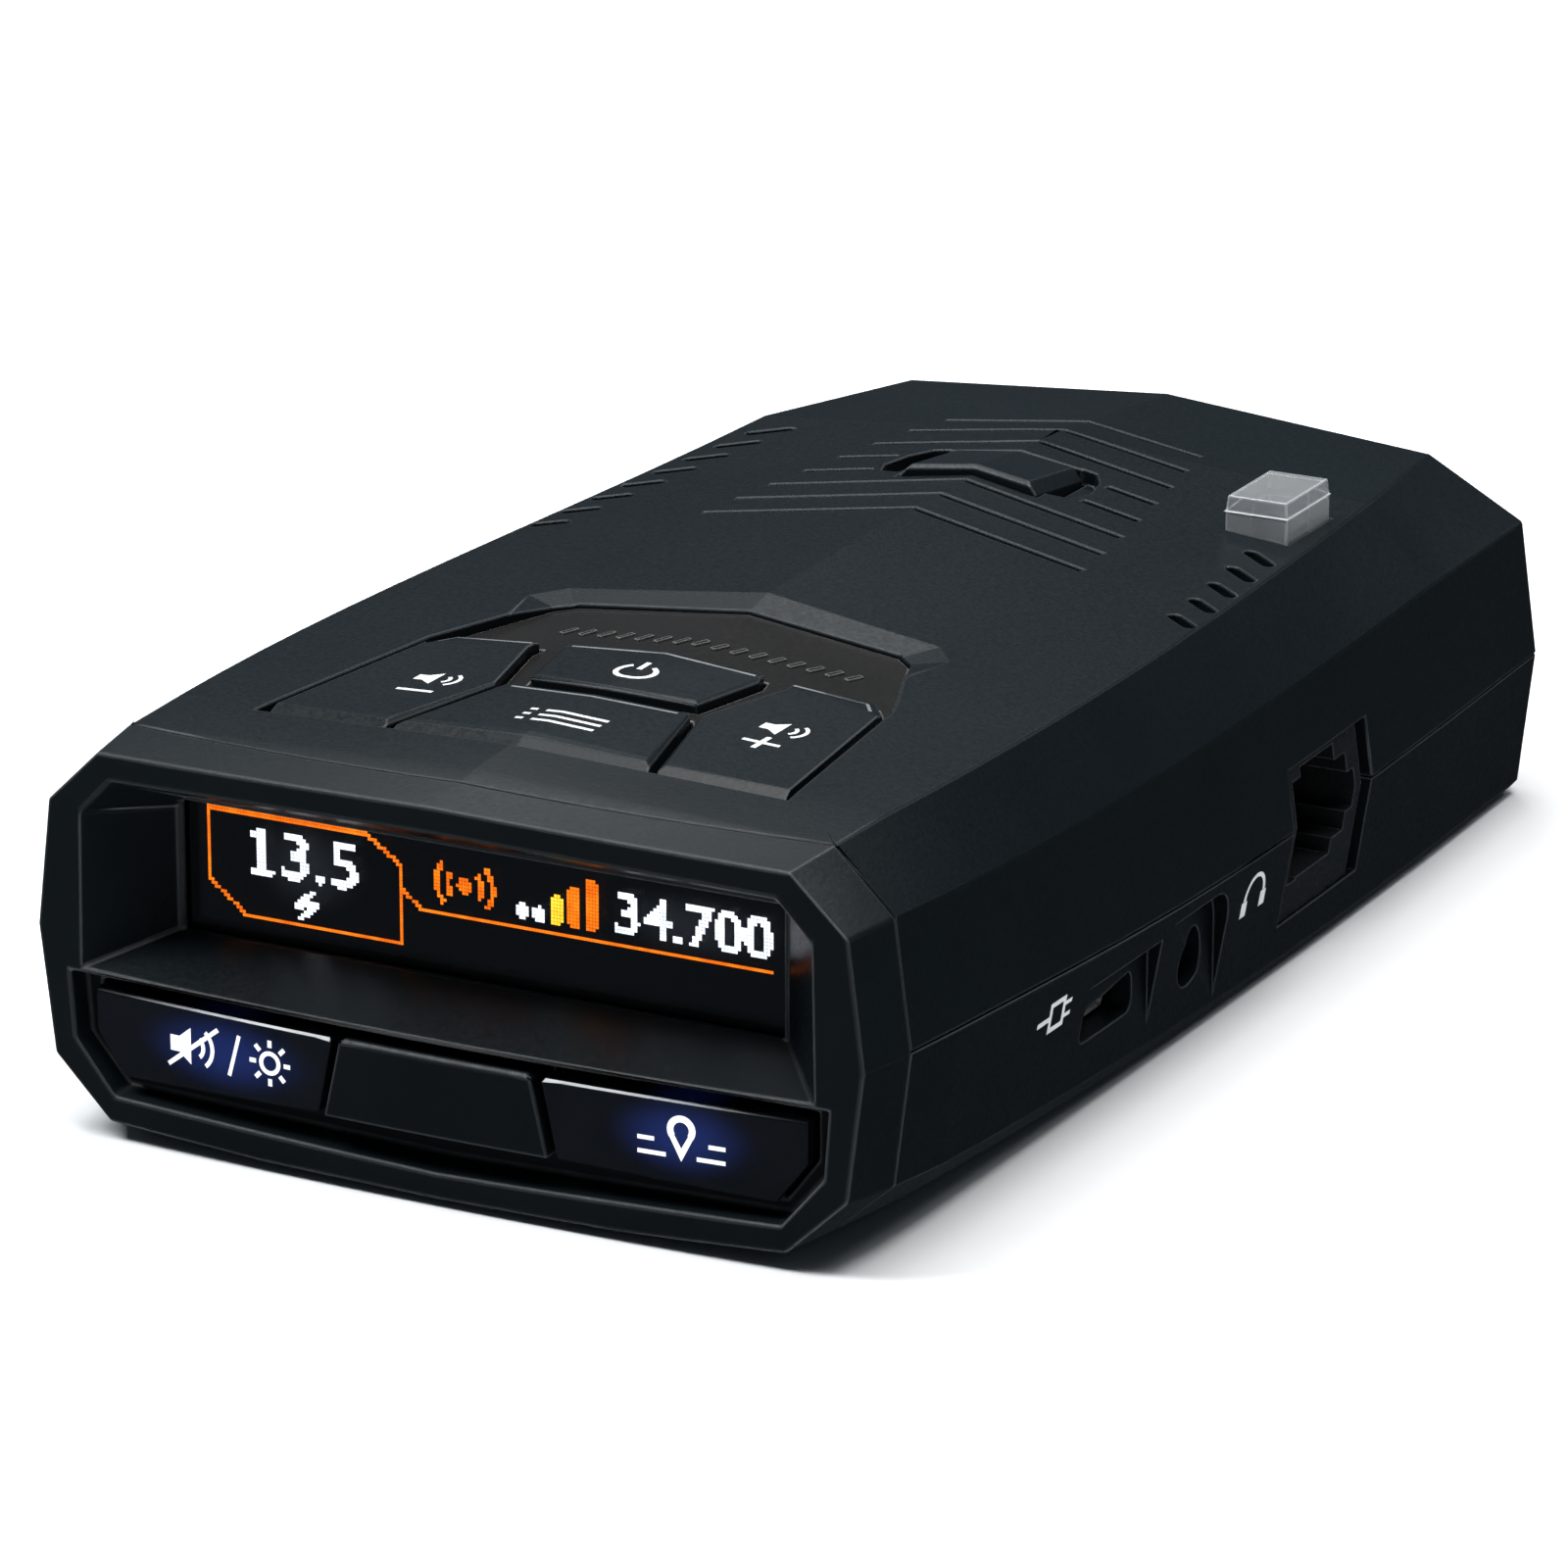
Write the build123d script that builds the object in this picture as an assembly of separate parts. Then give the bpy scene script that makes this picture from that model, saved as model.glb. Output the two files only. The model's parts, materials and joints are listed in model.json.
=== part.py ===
from build123d import *
from collections import namedtuple
from math import hypot
import os

os.makedirs("parts", exist_ok=True)

# Windscreen radar detector, millimetres.
# X runs across the unit, -Y is the display end, +Y faces the road, Z = 0 is the underside.

# ---------------------------------------------------------------- driving dimensions
WALL = 1.8                  # moulded cover wall
SEAM = 0.12                 # gap where two mouldings meet
KEY_GAP = 0.17              # half of the gap between neighbouring keys
KEY_TRAVEL = 0.7            # top keys
PRESS_TRAVEL = 0.6          # keys under the display
RELEASE_TRAVEL = 1.3        # bracket release button

FRONT_Y = -61.2             # middle of the bowed front rim
RIM_BOW_R = 600.0           # bow of the rim in plan
SEAM_Y = -57.0              # bezel to cover seam on the centre line
SEAM_BOW_R = 192.0          # bow of that seam in plan
REAR_Y = 61.5               # road end

BOARD_TOP = 6.6             # main board, component side
BOARD_T = 1.2

# Cross-sections of the outer shape. Each gives the right half from the top down:
# ridge height, shoulder crease, cheek crease, widest point, heel, keel, sole and belly height.
Station = namedtuple("Station", "y ridge shoulder cheek waist heel keel sole belly")
RIM = Station(-61.6, 30.1, (28.0, 29.6), (32.45, 25.4), (33.65, 15.7),
              (32.45, 6.0), (27.7, 1.4), (14.0, 0.75), 0.55)
BAND = Station(-54.8, 31.2, (28.8, 30.1), (33.1, 25.3), (34.3, 15.3),
               (33.15, 5.25), (28.8, 1.3), (22.0, 0.35), 0.3)
BROW = Station(-47.0, 31.7, (29.1, 30.2), (33.4, 24.7), (34.6, 14.7),
               (33.2, 4.3), (30.4, 1.5), (27.0, 0.0), 0.0)
WAIST = Station(-17.3, 31.85, (29.7, 29.75), (33.7, 23.4), (34.95, 12.9),
                (33.0, 2.3), (32.2, 1.1), (29.5, 0.0), 0.0)
BACK = Station(22.1, 32.15, (28.0, 29.2), (33.05, 23.1), (34.6, 12.2),
               (32.85, 1.1), (32.3, 0.4), (31.2, 0.0), 0.0)
BEND = Station(39.9, 31.7, (27.0, 29.3), (32.7, 23.4), (34.2, 12.1),
               (32.7, 1.1), (32.1, 0.4), (31.0, 0.0), 0.0)
TAIL = Station(60.0, 29.7, (23.6, 27.75), (32.0, 23.15), (33.5, 12.4),
               (32.2, 1.1), (31.6, 0.4), (30.5, 0.0), 0.0)
END = Station(61.5, 28.5, (22.8, 26.6), (30.8, 22.4), (32.1, 12.4),
              (30.9, 2.0), (30.4, 1.4), (29.4, 1.1), 1.1)

# Display window and the hollow in front of it
WINDOW_X, WINDOW_Z0, WINDOW_Z1 = 24.7, 14.9, 24.9
WINDOW_Y = -54.2
SHELF_Y, SHELF_Z = -59.0, 13.4
PANEL_Y = -58.5             # sunk panel that carries the two front keys
PANEL_BACK_Y = -57.0
SWITCH_TIP_Y = -55.0        # plunger tips of the two switches behind the front keys

# Side sockets, all on the +X side
USB_Y, USB_Z = -21.2, 7.9
AUDIO_Y, AUDIO_Z, AUDIO_R = -6.8, 7.3, 1.8
POWER_Y0, POWER_Y1, POWER_Z0, POWER_Z1 = 9.9, 23.2, 4.4, 16.9
PLUG_Y0, PLUG_Y1, PLUG_Z0, PLUG_Z1 = 12.4, 18.8, 7.6, 16.6

# Bracket slot and its release
SLOT_X, SLOT_Z0, SLOT_Z1 = 10.2, 22.5, 25.0
GUIDE_WALL = 1.0
GUIDE_Y0 = 24.0
RELEASE_Y = 28.6
TOOTH_TOP = SLOT_Z0 + RELEASE_TRAVEL - 0.15

# Road end
HORN_Y0, HORN_Y1 = 35.0, 58.8
SPEAKER_Y, SPEAKER_R = 8.0, 13.5
PRISM_X, PRISM_Y = 23.4, 30.7
LASER_X, LASER_Z = 24.0, 12.4


# ---------------------------------------------------------------- small helpers
def box(x0, x1, y0, y1, z0, z1):
    """Box between two corners."""
    return Pos((x0 + x1) / 2, (y0 + y1) / 2, (z0 + z1) / 2) * Box(x1 - x0, y1 - y0, z1 - z0)


def post(x, y, z0, z1, r):
    """Upright cylinder."""
    return Pos(x, y, (z0 + z1) / 2) * Cylinder(r, z1 - z0)


def rod_y(x, z, y0, y1, r):
    """Cylinder along Y."""
    return Pos(x, (y0 + y1) / 2, z) * Rot(90, 0, 0) * Cylinder(r, y1 - y0)


def rod_x(y, z, x0, x1, r):
    """Cylinder along X."""
    return Pos((x0 + x1) / 2, y, z) * Rot(0, 90, 0) * Cylinder(r, x1 - x0)


def both_sides(right):
    """Closes an outline whose right half is listed, from the centre line round to the centre line."""
    left = [(-x, z) for x, z in reversed(right) if x > 0.001]
    return list(right) + left


def mirror_x(part):
    return mirror(part, about=Plane.YZ)


# ---------------------------------------------------------------- outer shape
def outer_section(st):
    right = [(0, st.ridge), st.shoulder, st.cheek, st.waist, st.heel, st.keel, st.sole, (0, st.belly)]
    return make_face(Polyline(*[(x, st.y, z) for x, z in both_sides(right)], close=True))


def inner_section(st, wall):
    right = [(0, st.ridge - wall),
             (st.shoulder[0] - 0.75 * wall, st.shoulder[1] - wall),
             (st.cheek[0] - wall, st.cheek[1] - 0.35 * wall),
             (st.waist[0] - wall, st.waist[1]),
             (st.heel[0] - 1.15 * wall, max(st.heel[1] + 0.4 * wall, st.belly + wall + 1.0)),
             (st.keel[0] - 1.3 * wall, st.belly + wall),
             (0, st.belly + wall)]
    return make_face(Polyline(*[(x, st.y, z) for x, z in both_sides(right)], close=True))


def outer_hull():
    nose = loft([outer_section(s) for s in (RIM, BAND, BROW)], ruled=True)
    barrel = loft([outer_section(s) for s in (BROW, WAIST, BACK, BEND)])
    tail = loft([outer_section(s) for s in (BEND, TAIL, END)], ruled=True)
    return nose + barrel + tail


def inner_hull(wall, y_end):
    nose = loft([inner_section(s, wall) for s in (RIM, BAND, BROW)], ruled=True)
    barrel = loft([inner_section(s, wall) for s in (BROW, WAIST, BACK, BEND)])
    tail = loft([inner_section(BEND, wall), inner_section(TAIL, wall)], ruled=True)
    hull = nose + barrel + tail
    return hull & box(-40, 40, -70, y_end, -5, 45)


def behind_seam(gap=0.0):
    """Everything behind the bowed seam between bezel and covers."""
    return Pos(0, SEAM_Y + SEAM_BOW_R, 16) * Cylinder(SEAM_BOW_R + gap, 60)


def above_parting(gap=0.0):
    """Everything above the gently falling line where the two covers meet."""
    line = Spline((-41, -70, 16.1 + gap), (-41, -53.8, 15.3 + gap), (-41, -8.8, 12.65 + gap),
                  (-41, 41.0, 12.1 + gap), (-41, 70, 12.1 + gap))
    frame = Polyline((-41, 70, 12.1 + gap), (-41, 70, 45), (-41, -70, 45), (-41, -70, 16.1 + gap))
    face = make_face([line, frame])
    return extrude(face, amount=82, dir=(1, 0, 0))


HULL = outer_hull()
CAVITY = inner_hull(WALL, REAR_Y - WALL)


# ---------------------------------------------------------------- outlines of the keys
# Plan outlines of the top key group, X and Y. VOLUME is the right-hand key, the others are
# listed for their right half, from the centre line round to the centre line.
KEY_WELL = [(0, -49.75), (21.9, -48.9), (19.4, -27.8), (15.2, -16.6), (13.6, -15.2), (0, -13.5)]
VOLUME = [(11.25, -49.45), (21.5, -48.7), (19.1, -28.6), (17.6, -26.5), (10.6, -26.2),
          (10.7, -28.0), (8.35, -37.2)]
MENU = [(0, -49.6), (10.9, -49.45), (8.0, -37.3), (7.5, -36.5), (0, -36.95)]
POWER = [(0, -35.6), (7.1, -34.8), (8.5, -27.6), (8.1, -25.95), (0, -25.6)]
WELL_BEVEL = [(0, -13.5), (13.6, -15.2), (15.2, -16.6), (16.7, -20.6), (17.9, -15.4), (15.8, -12.9), (0, -10.4)]
BEVEL_FACES = (
    ((15.8, -12.9, 30.72), (0, -10.4, 31.95), (0, -13.5, 31.4)),
    ((17.9, -15.4, 30.57), (15.8, -12.9, 30.72), (15.2, -16.6, 30.3)),
    ((16.7, -20.6, 30.67), (17.9, -15.4, 30.57), (15.2, -16.6, 30.3)),
)

# Front outlines of the row under the display, X and Z.
SOFT_KEY = [(8.45, 11.4), (29.3, 11.4), (29.3, 8.0), (26.9, 4.8), (9.75, 5.35)]
BLANK = [(0, 11.5), (7.8, 11.5), (9.2, 5.35), (0, 5.35)]


def plan_solid(points, z0, z1, by=0.0):
    """Plan outline, offset by a distance, raised between two heights."""
    face = make_face(Polyline(*points, close=True))
    if by:
        face = offset(face, amount=by, kind=Kind.INTERSECTION)
    return Pos(0, 0, z0) * extrude(face, amount=z1 - z0, dir=(0, 0, 1))


def front_solid(points, y0, y1, by=0.0):
    """Front outline of X and Z, offset by a distance, pushed from y0 to y1."""
    face = make_face(Polyline(*points, close=True))
    if by:
        face = offset(face, amount=by, kind=Kind.INTERSECTION)
    return Pos(0, y1, 0) * Rot(90, 0, 0) * extrude(face, amount=y1 - y0, dir=(0, 0, 1))


def below_roof(solid, drop):
    """The part of a solid that lies at least a distance under the roof."""
    return solid & (Pos(0, 0, -drop) * HULL)


# ---------------------------------------------------------------- top keys
CAP_T = 2.0                 # thickness of a key's cap
KEYPAD_Z0, KEYPAD_Z1 = 24.2, 25.0
DOME_H = 0.6
DOMES = [(0, -30.5), (0, -43.0), (14.5, -38.0), (-14.5, -38.0)]
STEM_Z = KEYPAD_Z1 + DOME_H + 0.1 + KEY_TRAVEL


def roof_z(x, y):
    """Height of the roof over a plan point between the shoulders."""
    stations = (RIM, BAND, BROW, WAIST, BACK, BEND, TAIL)
    for near, far in zip(stations, stations[1:]):
        if near.y <= y <= far.y:
            t = (y - near.y) / (far.y - near.y)
            ridge = near.ridge + t * (far.ridge - near.ridge)
            shoulder_x = near.shoulder[0] + t * (far.shoulder[0] - near.shoulder[0])
            shoulder_z = near.shoulder[1] + t * (far.shoulder[1] - near.shoulder[1])
            return ridge + (shoulder_z - ridge) * abs(x) / shoulder_x
    return 0.0


def bevel(p, q, inside, width, depth):
    """Wedge that slopes a key's roof down towards one straight edge of its outline."""
    along = Vector(q[0] - p[0], q[1] - p[1], 0).normalized()
    inward = Vector(-along.Y, along.X, 0)
    if inward.dot(Vector(inside[0] - p[0], inside[1] - p[1], 0)) < 0:
        inward = inward * -1
    rise = (roof_z(*q) - roof_z(*p)) / hypot(q[0] - p[0], q[1] - p[1])
    faces = []
    for (x, y), reach in ((p, -0.5), (q, 0.5)):
        roof = roof_z(x, y) + rise * reach
        foot = Vector(x, y, 0) + along * reach
        outer = foot - inward * width
        inner = foot + inward * (2 * width)
        corners = ((outer.X, outer.Y, roof - 2 * depth), (inner.X, inner.Y, roof + depth),
                   (outer.X, outer.Y, roof + 3))
        faces.append(make_face(Polyline(*corners, close=True)))
    return loft(faces, ruled=True)


def key_cap(points, inside, bevels):
    """Cap whose top follows the roof. Each bevel names two outline points, a width and a depth."""
    blank = plan_solid(points, 20, 40, -KEY_GAP)
    cap = (blank & HULL) - (Pos(0, 0, -CAP_T) * HULL)
    for p, q, width, depth in bevels:
        cap = cap - bevel(p, q, inside, width, depth)
    return cap


def stem(x, y):
    """Post from the underside of a key down to the keypad."""
    return box(x - 2.0, x + 2.0, y - 1.6, y + 1.6, STEM_Z, 31) & (Pos(0, 0, -0.5) * HULL)


def lug(x0, x1, y0, y1):
    """Hook under the edge of the cover that keeps a key in."""
    return below_roof(box(x0, x1, y0, y1, 20, 40), WALL + 0.12) - (Pos(0, 0, -WALL - 1.1) * HULL)


def power_button():
    edges = []
    for side in (1, -1):
        edges.append(((0, -25.77), (side * 8.0, -26.12), 0.8, 0.22))
        edges.append(((0, -35.43), (side * 7.0, -34.63), 0.5, 0.25))
        edges.append(((side * 8.33, -27.6), (side * 6.95, -34.7), 0.4, 0.25))
    return key_cap(both_sides(POWER), (0, -30), edges) + stem(0, -30.5)


def menu_button():
    edges = []
    for side in (1, -1):
        edges.append(((0, -49.43), (side * 10.75, -49.28), 1.35, 0.75))
        edges.append(((0, -37.12), (side * 7.5, -36.67), 0.7, 0.19))
        edges.append(((side * 10.75, -49.28), (side * 7.85, -37.3), 0.3, 0.2))
    return key_cap(both_sides(MENU), (0, -43), edges) + stem(0, -43.0) + lug(-9.0, 9.0, -51.2, -48.2)


def volume_up_button():
    edges = [((11.4, -49.28), (21.35, -48.53), 1.35, 0.75), ((10.7, -26.37), (17.55, -26.67), 0.8, 0.22),
             ((17.5, -26.65), (18.95, -28.65), 0.7, 0.2), ((11.4, -49.2), (8.55, -37.2), 0.3, 0.2)]
    return key_cap(VOLUME, (14, -38), edges) + stem(14.5, -38.0) + lug(12.5, 20.0, -50.6, -47.8)


def button_trim_plate():
    """Glossy plate sunk around the keys, filling the road half of the well."""
    plate = plan_solid(both_sides(KEY_WELL), 20, 40, -0.1) & box(-24, 24, -39, -12, 20, 40)
    plate = below_roof(plate, 0.8) - (Pos(0, 0, -CAP_T - 0.4) * HULL)
    for outline in (both_sides(POWER), both_sides(MENU), VOLUME, [(-x, y) for x, y in VOLUME]):
        plate = plate - plan_solid(outline, 20, 40, 0.06)
    pieces = sorted(plate.solids(), key=lambda s: s.volume)
    return pieces[-1]


def keypad():
    """Soft silicone sheet with one dome under each key stem."""
    sheet = box(-19.5, 19.5, -48.2, -24.5, KEYPAD_Z0, KEYPAD_Z1)
    for x, y in DOMES:
        sheet = sheet + Pos(x, y, KEYPAD_Z1 + DOME_H / 2) * Cone(2.6, 1.7, DOME_H)
    return sheet


def key_board():
    board = box(-24.8, 24.8, -32.0, -24.0, 23.0, 24.2) + box(-20, 20, -48.6, -31.9, 23.0, 24.2)
    for x in (-KEY_BOARD_SCREW_X, KEY_BOARD_SCREW_X):
        board = board - post(x, KEY_BOARD_SCREW_Y, 20, 26, 1.1)
    return board


# ---------------------------------------------------------------- covers
CHEVRONS = 8
CHEVRON_PITCH = 4.42
CHEVRON_Y = 13.75
SLOT_W = 0.6
EDGE_SLOT_W = 1.05
EDGE_SLOT_DEPTH = 1.2
SWEEP = 0.235               # how far a row falls back for each millimetre from the centre line
RELEASE_PLAN = [(0, 24.3), (6.05, 23.1), (6.05, 31.5), (0, 32.4)]
FINGER_GAP = [(5.9, 24.2), (8.3, 24.6), (9.0, 26.6), (8.4, 29.6), (7.2, 31.6), (5.9, 31.9)]
SCREWS = [(27.6, -38.0), (-27.6, -38.0), (26.8, 44.5), (-26.8, 44.5)]
KEY_BOARD_SCREW_X, KEY_BOARD_SCREW_Y = 22.7, -28.0


def slot(x0, y0, x1, y1, width, depth):
    """Groove between two plan points, cut down from the roof."""
    along = Vector(x1 - x0, y1 - y0, 0)
    turn = along.get_signed_angle(Vector(1, 0, 0), Vector(0, 0, -1))
    bar = Pos((x0 + x1) / 2, (y0 + y1) / 2, 30) * Rot(0, 0, turn) * Box(along.length, width, 14)
    return bar - (Pos(0, 0, -depth) * HULL)


def chevron_slots():
    """Eight rows of speaker slots, V-shaped in plan, broken where the release button sits."""
    cuts = []
    for i in range(CHEVRONS):
        apex = CHEVRON_Y + CHEVRON_PITCH * i
        reach = 16.4 - 0.45 * i - 0.04 * i * i
        start = 9.3 if i in (3, 4) else 0.0
        for side in (1, -1):
            near = (side * start, apex - SWEEP * start)
            far = (side * reach, apex - SWEEP * reach)
            cuts.append(slot(*near, *far, SLOT_W, 2.6))
    return cuts


def edge_slots():
    """Short slanted grooves along both shoulders; the sensor prism takes the place of three."""
    cuts = []
    for side, count in ((1, 5), (-1, 8)):
        for i in range(count):
            x = 28.2 - 0.28 * i - 0.02 * i * i
            y = 4.1 + 4.35 * i
            run = 1.7 + 0.1 * i
            groove = slot(side * x, y, side * (x - run), y + 0.7 * run, EDGE_SLOT_W, EDGE_SLOT_DEPTH)
            for end_x, end_y in ((x, y), (x - run, y + 0.7 * run)):
                end = post(side * end_x, end_y, 20, 40, EDGE_SLOT_W / 2)
                groove = groove + (end - (Pos(0, 0, -EDGE_SLOT_DEPTH) * HULL))
            cuts.append(groove)
    return cuts


def side_sockets():
    """Openings and shallow scoops in the wall beside the three sockets."""
    usb = box(28, 38, USB_Y - 4.65, USB_Y + 4.65, USB_Z - 1.55, USB_Z + 1.55)
    usb = fillet(usb.edges().filter_by(Axis.X), 1.0)
    audio = rod_x(AUDIO_Y, AUDIO_Z, 28, 38, 2.35)
    power = box(26, 38, POWER_Y0 - 0.1, POWER_Y1 + 1.7, POWER_Z0 - 0.1, POWER_Z1 + 0.1)
    return usb + audio + power


SCOOP_R = 3.0               # rounded far corner of the deeper scoop


def side_scoops():
    """Two wedge-shaped scoops that deepen towards the road end."""
    scoops = []
    for y0, y1, top, depth in ((-30.0, -13.3, 10.8, 1.0), (-12.6, -1.0, 11.4, 1.3)):
        plan = [(36.5, y0), (34.9, y0), (34.3 - depth, y1), (36.5, y1)]
        wedge = plan_solid(plan, -2, top)
        if depth > 1.2:
            far_top = [e for e in wedge.edges() if e.center().Y > y1 - 0.1 and e.center().Z > top - 0.1]
            wedge = fillet(far_top, SCOOP_R)
        scoops.append(wedge)
    return scoops


def road_end_opening():
    return box(-27, 27, 55, 70, 4.5, 20.0)


def shell():
    body = (HULL & behind_seam()) - CAVITY
    body = body - side_sockets() - road_end_opening()
    for scoop in side_scoops():
        body = body - scoop
    return body


def above_face(a, b, c):
    """Everything above a sloping face, given by three points anticlockwise seen from above."""
    side = Vector(*b) - Vector(*a)
    slope = Plane(origin=a, x_dir=side, z_dir=side.cross(Vector(*c) - Vector(*a)))
    return slope * (Pos(0, 0, 5) * Box(90, 90, 10))


def top_cover():
    cover = shell() & above_parting(SEAM / 2)
    for x, y in SCREWS:
        cover = cover + (post(x, y, 8.0, 30, 2.7) & HULL & behind_seam(-2.0))
        cover = cover - post(x, y, 7.0, 15.5, 1.12)
    cover = cover - plan_solid(both_sides(KEY_WELL), 15, 40)
    far_edge = plan_solid(WELL_BEVEL, 20, 40)
    for face in BEVEL_FACES:
        far_edge = far_edge & above_face(*face)
    cover = cover - far_edge - mirror(far_edge, about=Plane.YZ)
    for cut in chevron_slots() + edge_slots():
        cover = cover - cut
    for outline in (FINGER_GAP, [(-x, y) for x, y in FINGER_GAP]):
        cover = cover - (plan_solid(outline, 20, 40) - (Pos(0, 0, -1.2) * HULL))
    cover = cover - plan_solid(both_sides(RELEASE_PLAN), 20, 40, 0.18)
    cover = cover - box(PRISM_X - 2.75, PRISM_X + 2.75, PRISM_Y - 4.15, PRISM_Y + 4.15, 20, 40)
    cover = cover - box(-SLOT_X, SLOT_X, 55, 70, SLOT_Z0, SLOT_Z1)
    for x in (-KEY_BOARD_SCREW_X, KEY_BOARD_SCREW_X):
        cover = cover + (post(x, KEY_BOARD_SCREW_Y, 24.22, 32, 1.9) & (Pos(0, 0, -1.5) * HULL))
        cover = cover - post(x, KEY_BOARD_SCREW_Y, 20, 28.0, 0.72)
    return max(cover.solids(), key=lambda s: s.volume)


def bottom_cover():
    cover = shell() - above_parting(-SEAM / 2)
    for x, y in SCREWS:
        cover = cover + (post(x, y, 0.2, 7.8, 2.7) & HULL)
        cover = cover - post(x, y, -1, 9, 1.25) - post(x, y, -1, 1.9, 2.3)
    for x, y in BOARD_SCREWS:
        cover = cover + post(x, y, 0.9, BOARD_TOP - BOARD_T - 0.02, 2.2)
        cover = cover - post(x, y, 1.9, 9, 0.82)
    cover = cover - box(-20.2, 20.2, -10.2, 20.2, -1, 0.4)
    return max(cover.solids(), key=lambda s: s.volume)


BOARD_SCREWS = [(21.0, -43.0), (-21.0, -43.0), (-24.0, 30.0), (20.5, 53.0), (-18.0, 53.0)]


def case_screws():
    screws = []
    for x, y in SCREWS:
        cross = Pos(x, y, 0.6) * (Box(2.6, 0.5, 0.7) + Box(0.5, 2.6, 0.7))
        head = post(x, y, 0.35, 1.85, 2.1) - cross
        screws.append(head + post(x, y, 1.8, 14.5, 1.1))
    return Compound(children=screws)


def pan_screw(x, y, z_seat, length, r):
    head = post(x, y, z_seat, z_seat + 1.1, r * 2) - (Pos(x, y, z_seat + 0.9) * Box(r * 2.4, 0.45, 0.6))
    return head + post(x, y, z_seat - length, z_seat + 0.1, r)


def board_screws():
    return Compound(children=[pan_screw(x, y, BOARD_TOP, 4.2, 0.8) for x, y in BOARD_SCREWS])


def key_board_screws():
    screws = []
    y = KEY_BOARD_SCREW_Y
    for x in (-KEY_BOARD_SCREW_X, KEY_BOARD_SCREW_X):
        head = post(x, y, 21.9, 22.98, 1.5) - (Pos(x, y, 22.0) * Box(1.8, 0.4, 0.5))
        screws.append(head + post(x, y, 22.9, 27.4, 0.7))
    return Compound(children=screws)


def label_plate():
    return box(-20, 20, -10, 20, 0.1, 0.38)


# ---------------------------------------------------------------- display end
RIM_OPENING = [(0, 28.4), (27.75, 28.0), (30.85, 24.95), (31.4, 14.0), (30.9, 7.2), (27.5, 3.1), (0, 2.4)]
RIM_OPENING_BACK = [(0, 28.0), (27.6, 27.6), (30.5, 24.7), (31.0, 14.0), (30.5, 7.4), (27.3, 3.7), (0, 3.0)]


def front_bow(radius, y):
    return Pos(0, y + radius, 16) * Cylinder(radius, 70)


def sloped_hollow(front, back, y0, y1):
    faces = []
    for outline, y in ((front, y0), (back, y1)):
        faces.append(make_face(Polyline(*[(x, y, z) for x, z in both_sides(outline)], close=True)))
    return loft(faces, ruled=True)


def display_hollow():
    """Tapered recess from the rim down to the window, with the sloping shelf as its floor."""
    front = [(0, 28.4), (27.75, 28.1), (30.9, 25.0), (31.2, 12.4), (0, 12.4)]
    back = [(0, WINDOW_Z1 + 0.4), (24.0, WINDOW_Z1 + 0.4), (WINDOW_X + 0.4, WINDOW_Z1 - 0.6),
            (WINDOW_X + 0.4, WINDOW_Z0), (0, WINDOW_Z0)]
    return sloped_hollow(front, back, -61.7, WINDOW_Y - 0.6)


def front_bezel():
    rim = (HULL & front_bow(RIM_BOW_R, FRONT_Y)) - behind_seam(SEAM)
    skirt = inner_hull(WALL + 0.15, -51.6) - inner_hull(WALL + 1.25, -40) - box(-40, 40, -70, -58.0, -5, 40)
    skirt = skirt - box(-23, 23, -60, -45, 26.0, 40)
    body = rim + skirt
    lower = sloped_hollow(RIM_OPENING, RIM_OPENING_BACK, -61.7, PANEL_Y)
    lower = lower & box(-40, 40, -70, PANEL_Y, 0, 12.5)
    body = body - lower
    behind = inner_hull(WALL + 1.25, -40) & box(-40, 40, PANEL_BACK_Y, -40, -5, 40)
    body = body - behind
    funnel = box(-27.4, 27.4, -58.4, WINDOW_Y, 13.0, 27.0)
    sides = box(-31.0, 31.0, -58.4, PANEL_BACK_Y + 1.2, 12.6, 28.0) & inner_hull(WALL + 1.0, -40)
    body = body + funnel + sides
    body = body - display_hollow()
    window_hole = box(-WINDOW_X, WINDOW_X, -56, -50, WINDOW_Z0, WINDOW_Z1)
    body = body - window_hole
    shelf_lip = box(-30.9, 30.9, SHELF_Y, PANEL_Y + 0.4, SHELF_Z - 0.85, SHELF_Z - 0.05)
    body = body + (shelf_lip - display_hollow())
    for outline in (SOFT_KEY, [(-x, z) for x, z in SOFT_KEY]):
        body = body - front_solid(outline, -63, -55, 0.12)
    body = body - front_solid(both_sides(BLANK), -63, -55, 0.06)
    return max(body.solids(), key=lambda s: s.volume)


def soft_key():
    """Key under the display: bowed front face, retaining flange and a plunger to its switch."""
    cap = front_solid(SOFT_KEY, -63, PANEL_BACK_Y + 0.05, -0.06) & front_bow(300.0, -61.25)
    near = [e for e in cap.edges() if (e @ 0.5).Y < -59.0 and abs((e @ 0.5).Z - 11.3) < 0.2]
    cap = chamfer(near, 0.3)
    flange = front_solid(SOFT_KEY, PANEL_BACK_Y + 0.05, PANEL_BACK_Y + 0.9, 0.45)
    flange = flange & inner_hull(WALL + 1.4, -40)
    plunger_back = SWITCH_TIP_Y - 0.15 - PRESS_TRAVEL
    plunger = box(16.5, 19.5, PANEL_BACK_Y + 0.8, plunger_back, 6.5, 9.5)
    return cap + flange + plunger


def front_center_panel():
    panel = front_solid(both_sides(BLANK), -63, PANEL_BACK_Y + 0.05, -0.02) & front_bow(300.0, -REAR_Y)
    near = [e for e in panel.edges() if (e @ 0.5).Y < -59.0 and abs((e @ 0.5).Z - 11.45) < 0.2]
    panel = chamfer(near, 0.3)
    back = box(-7.4, 7.4, PANEL_BACK_Y + 0.05, PANEL_BACK_Y + 0.9, 4.2, 12.0)
    return panel + back


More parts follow.
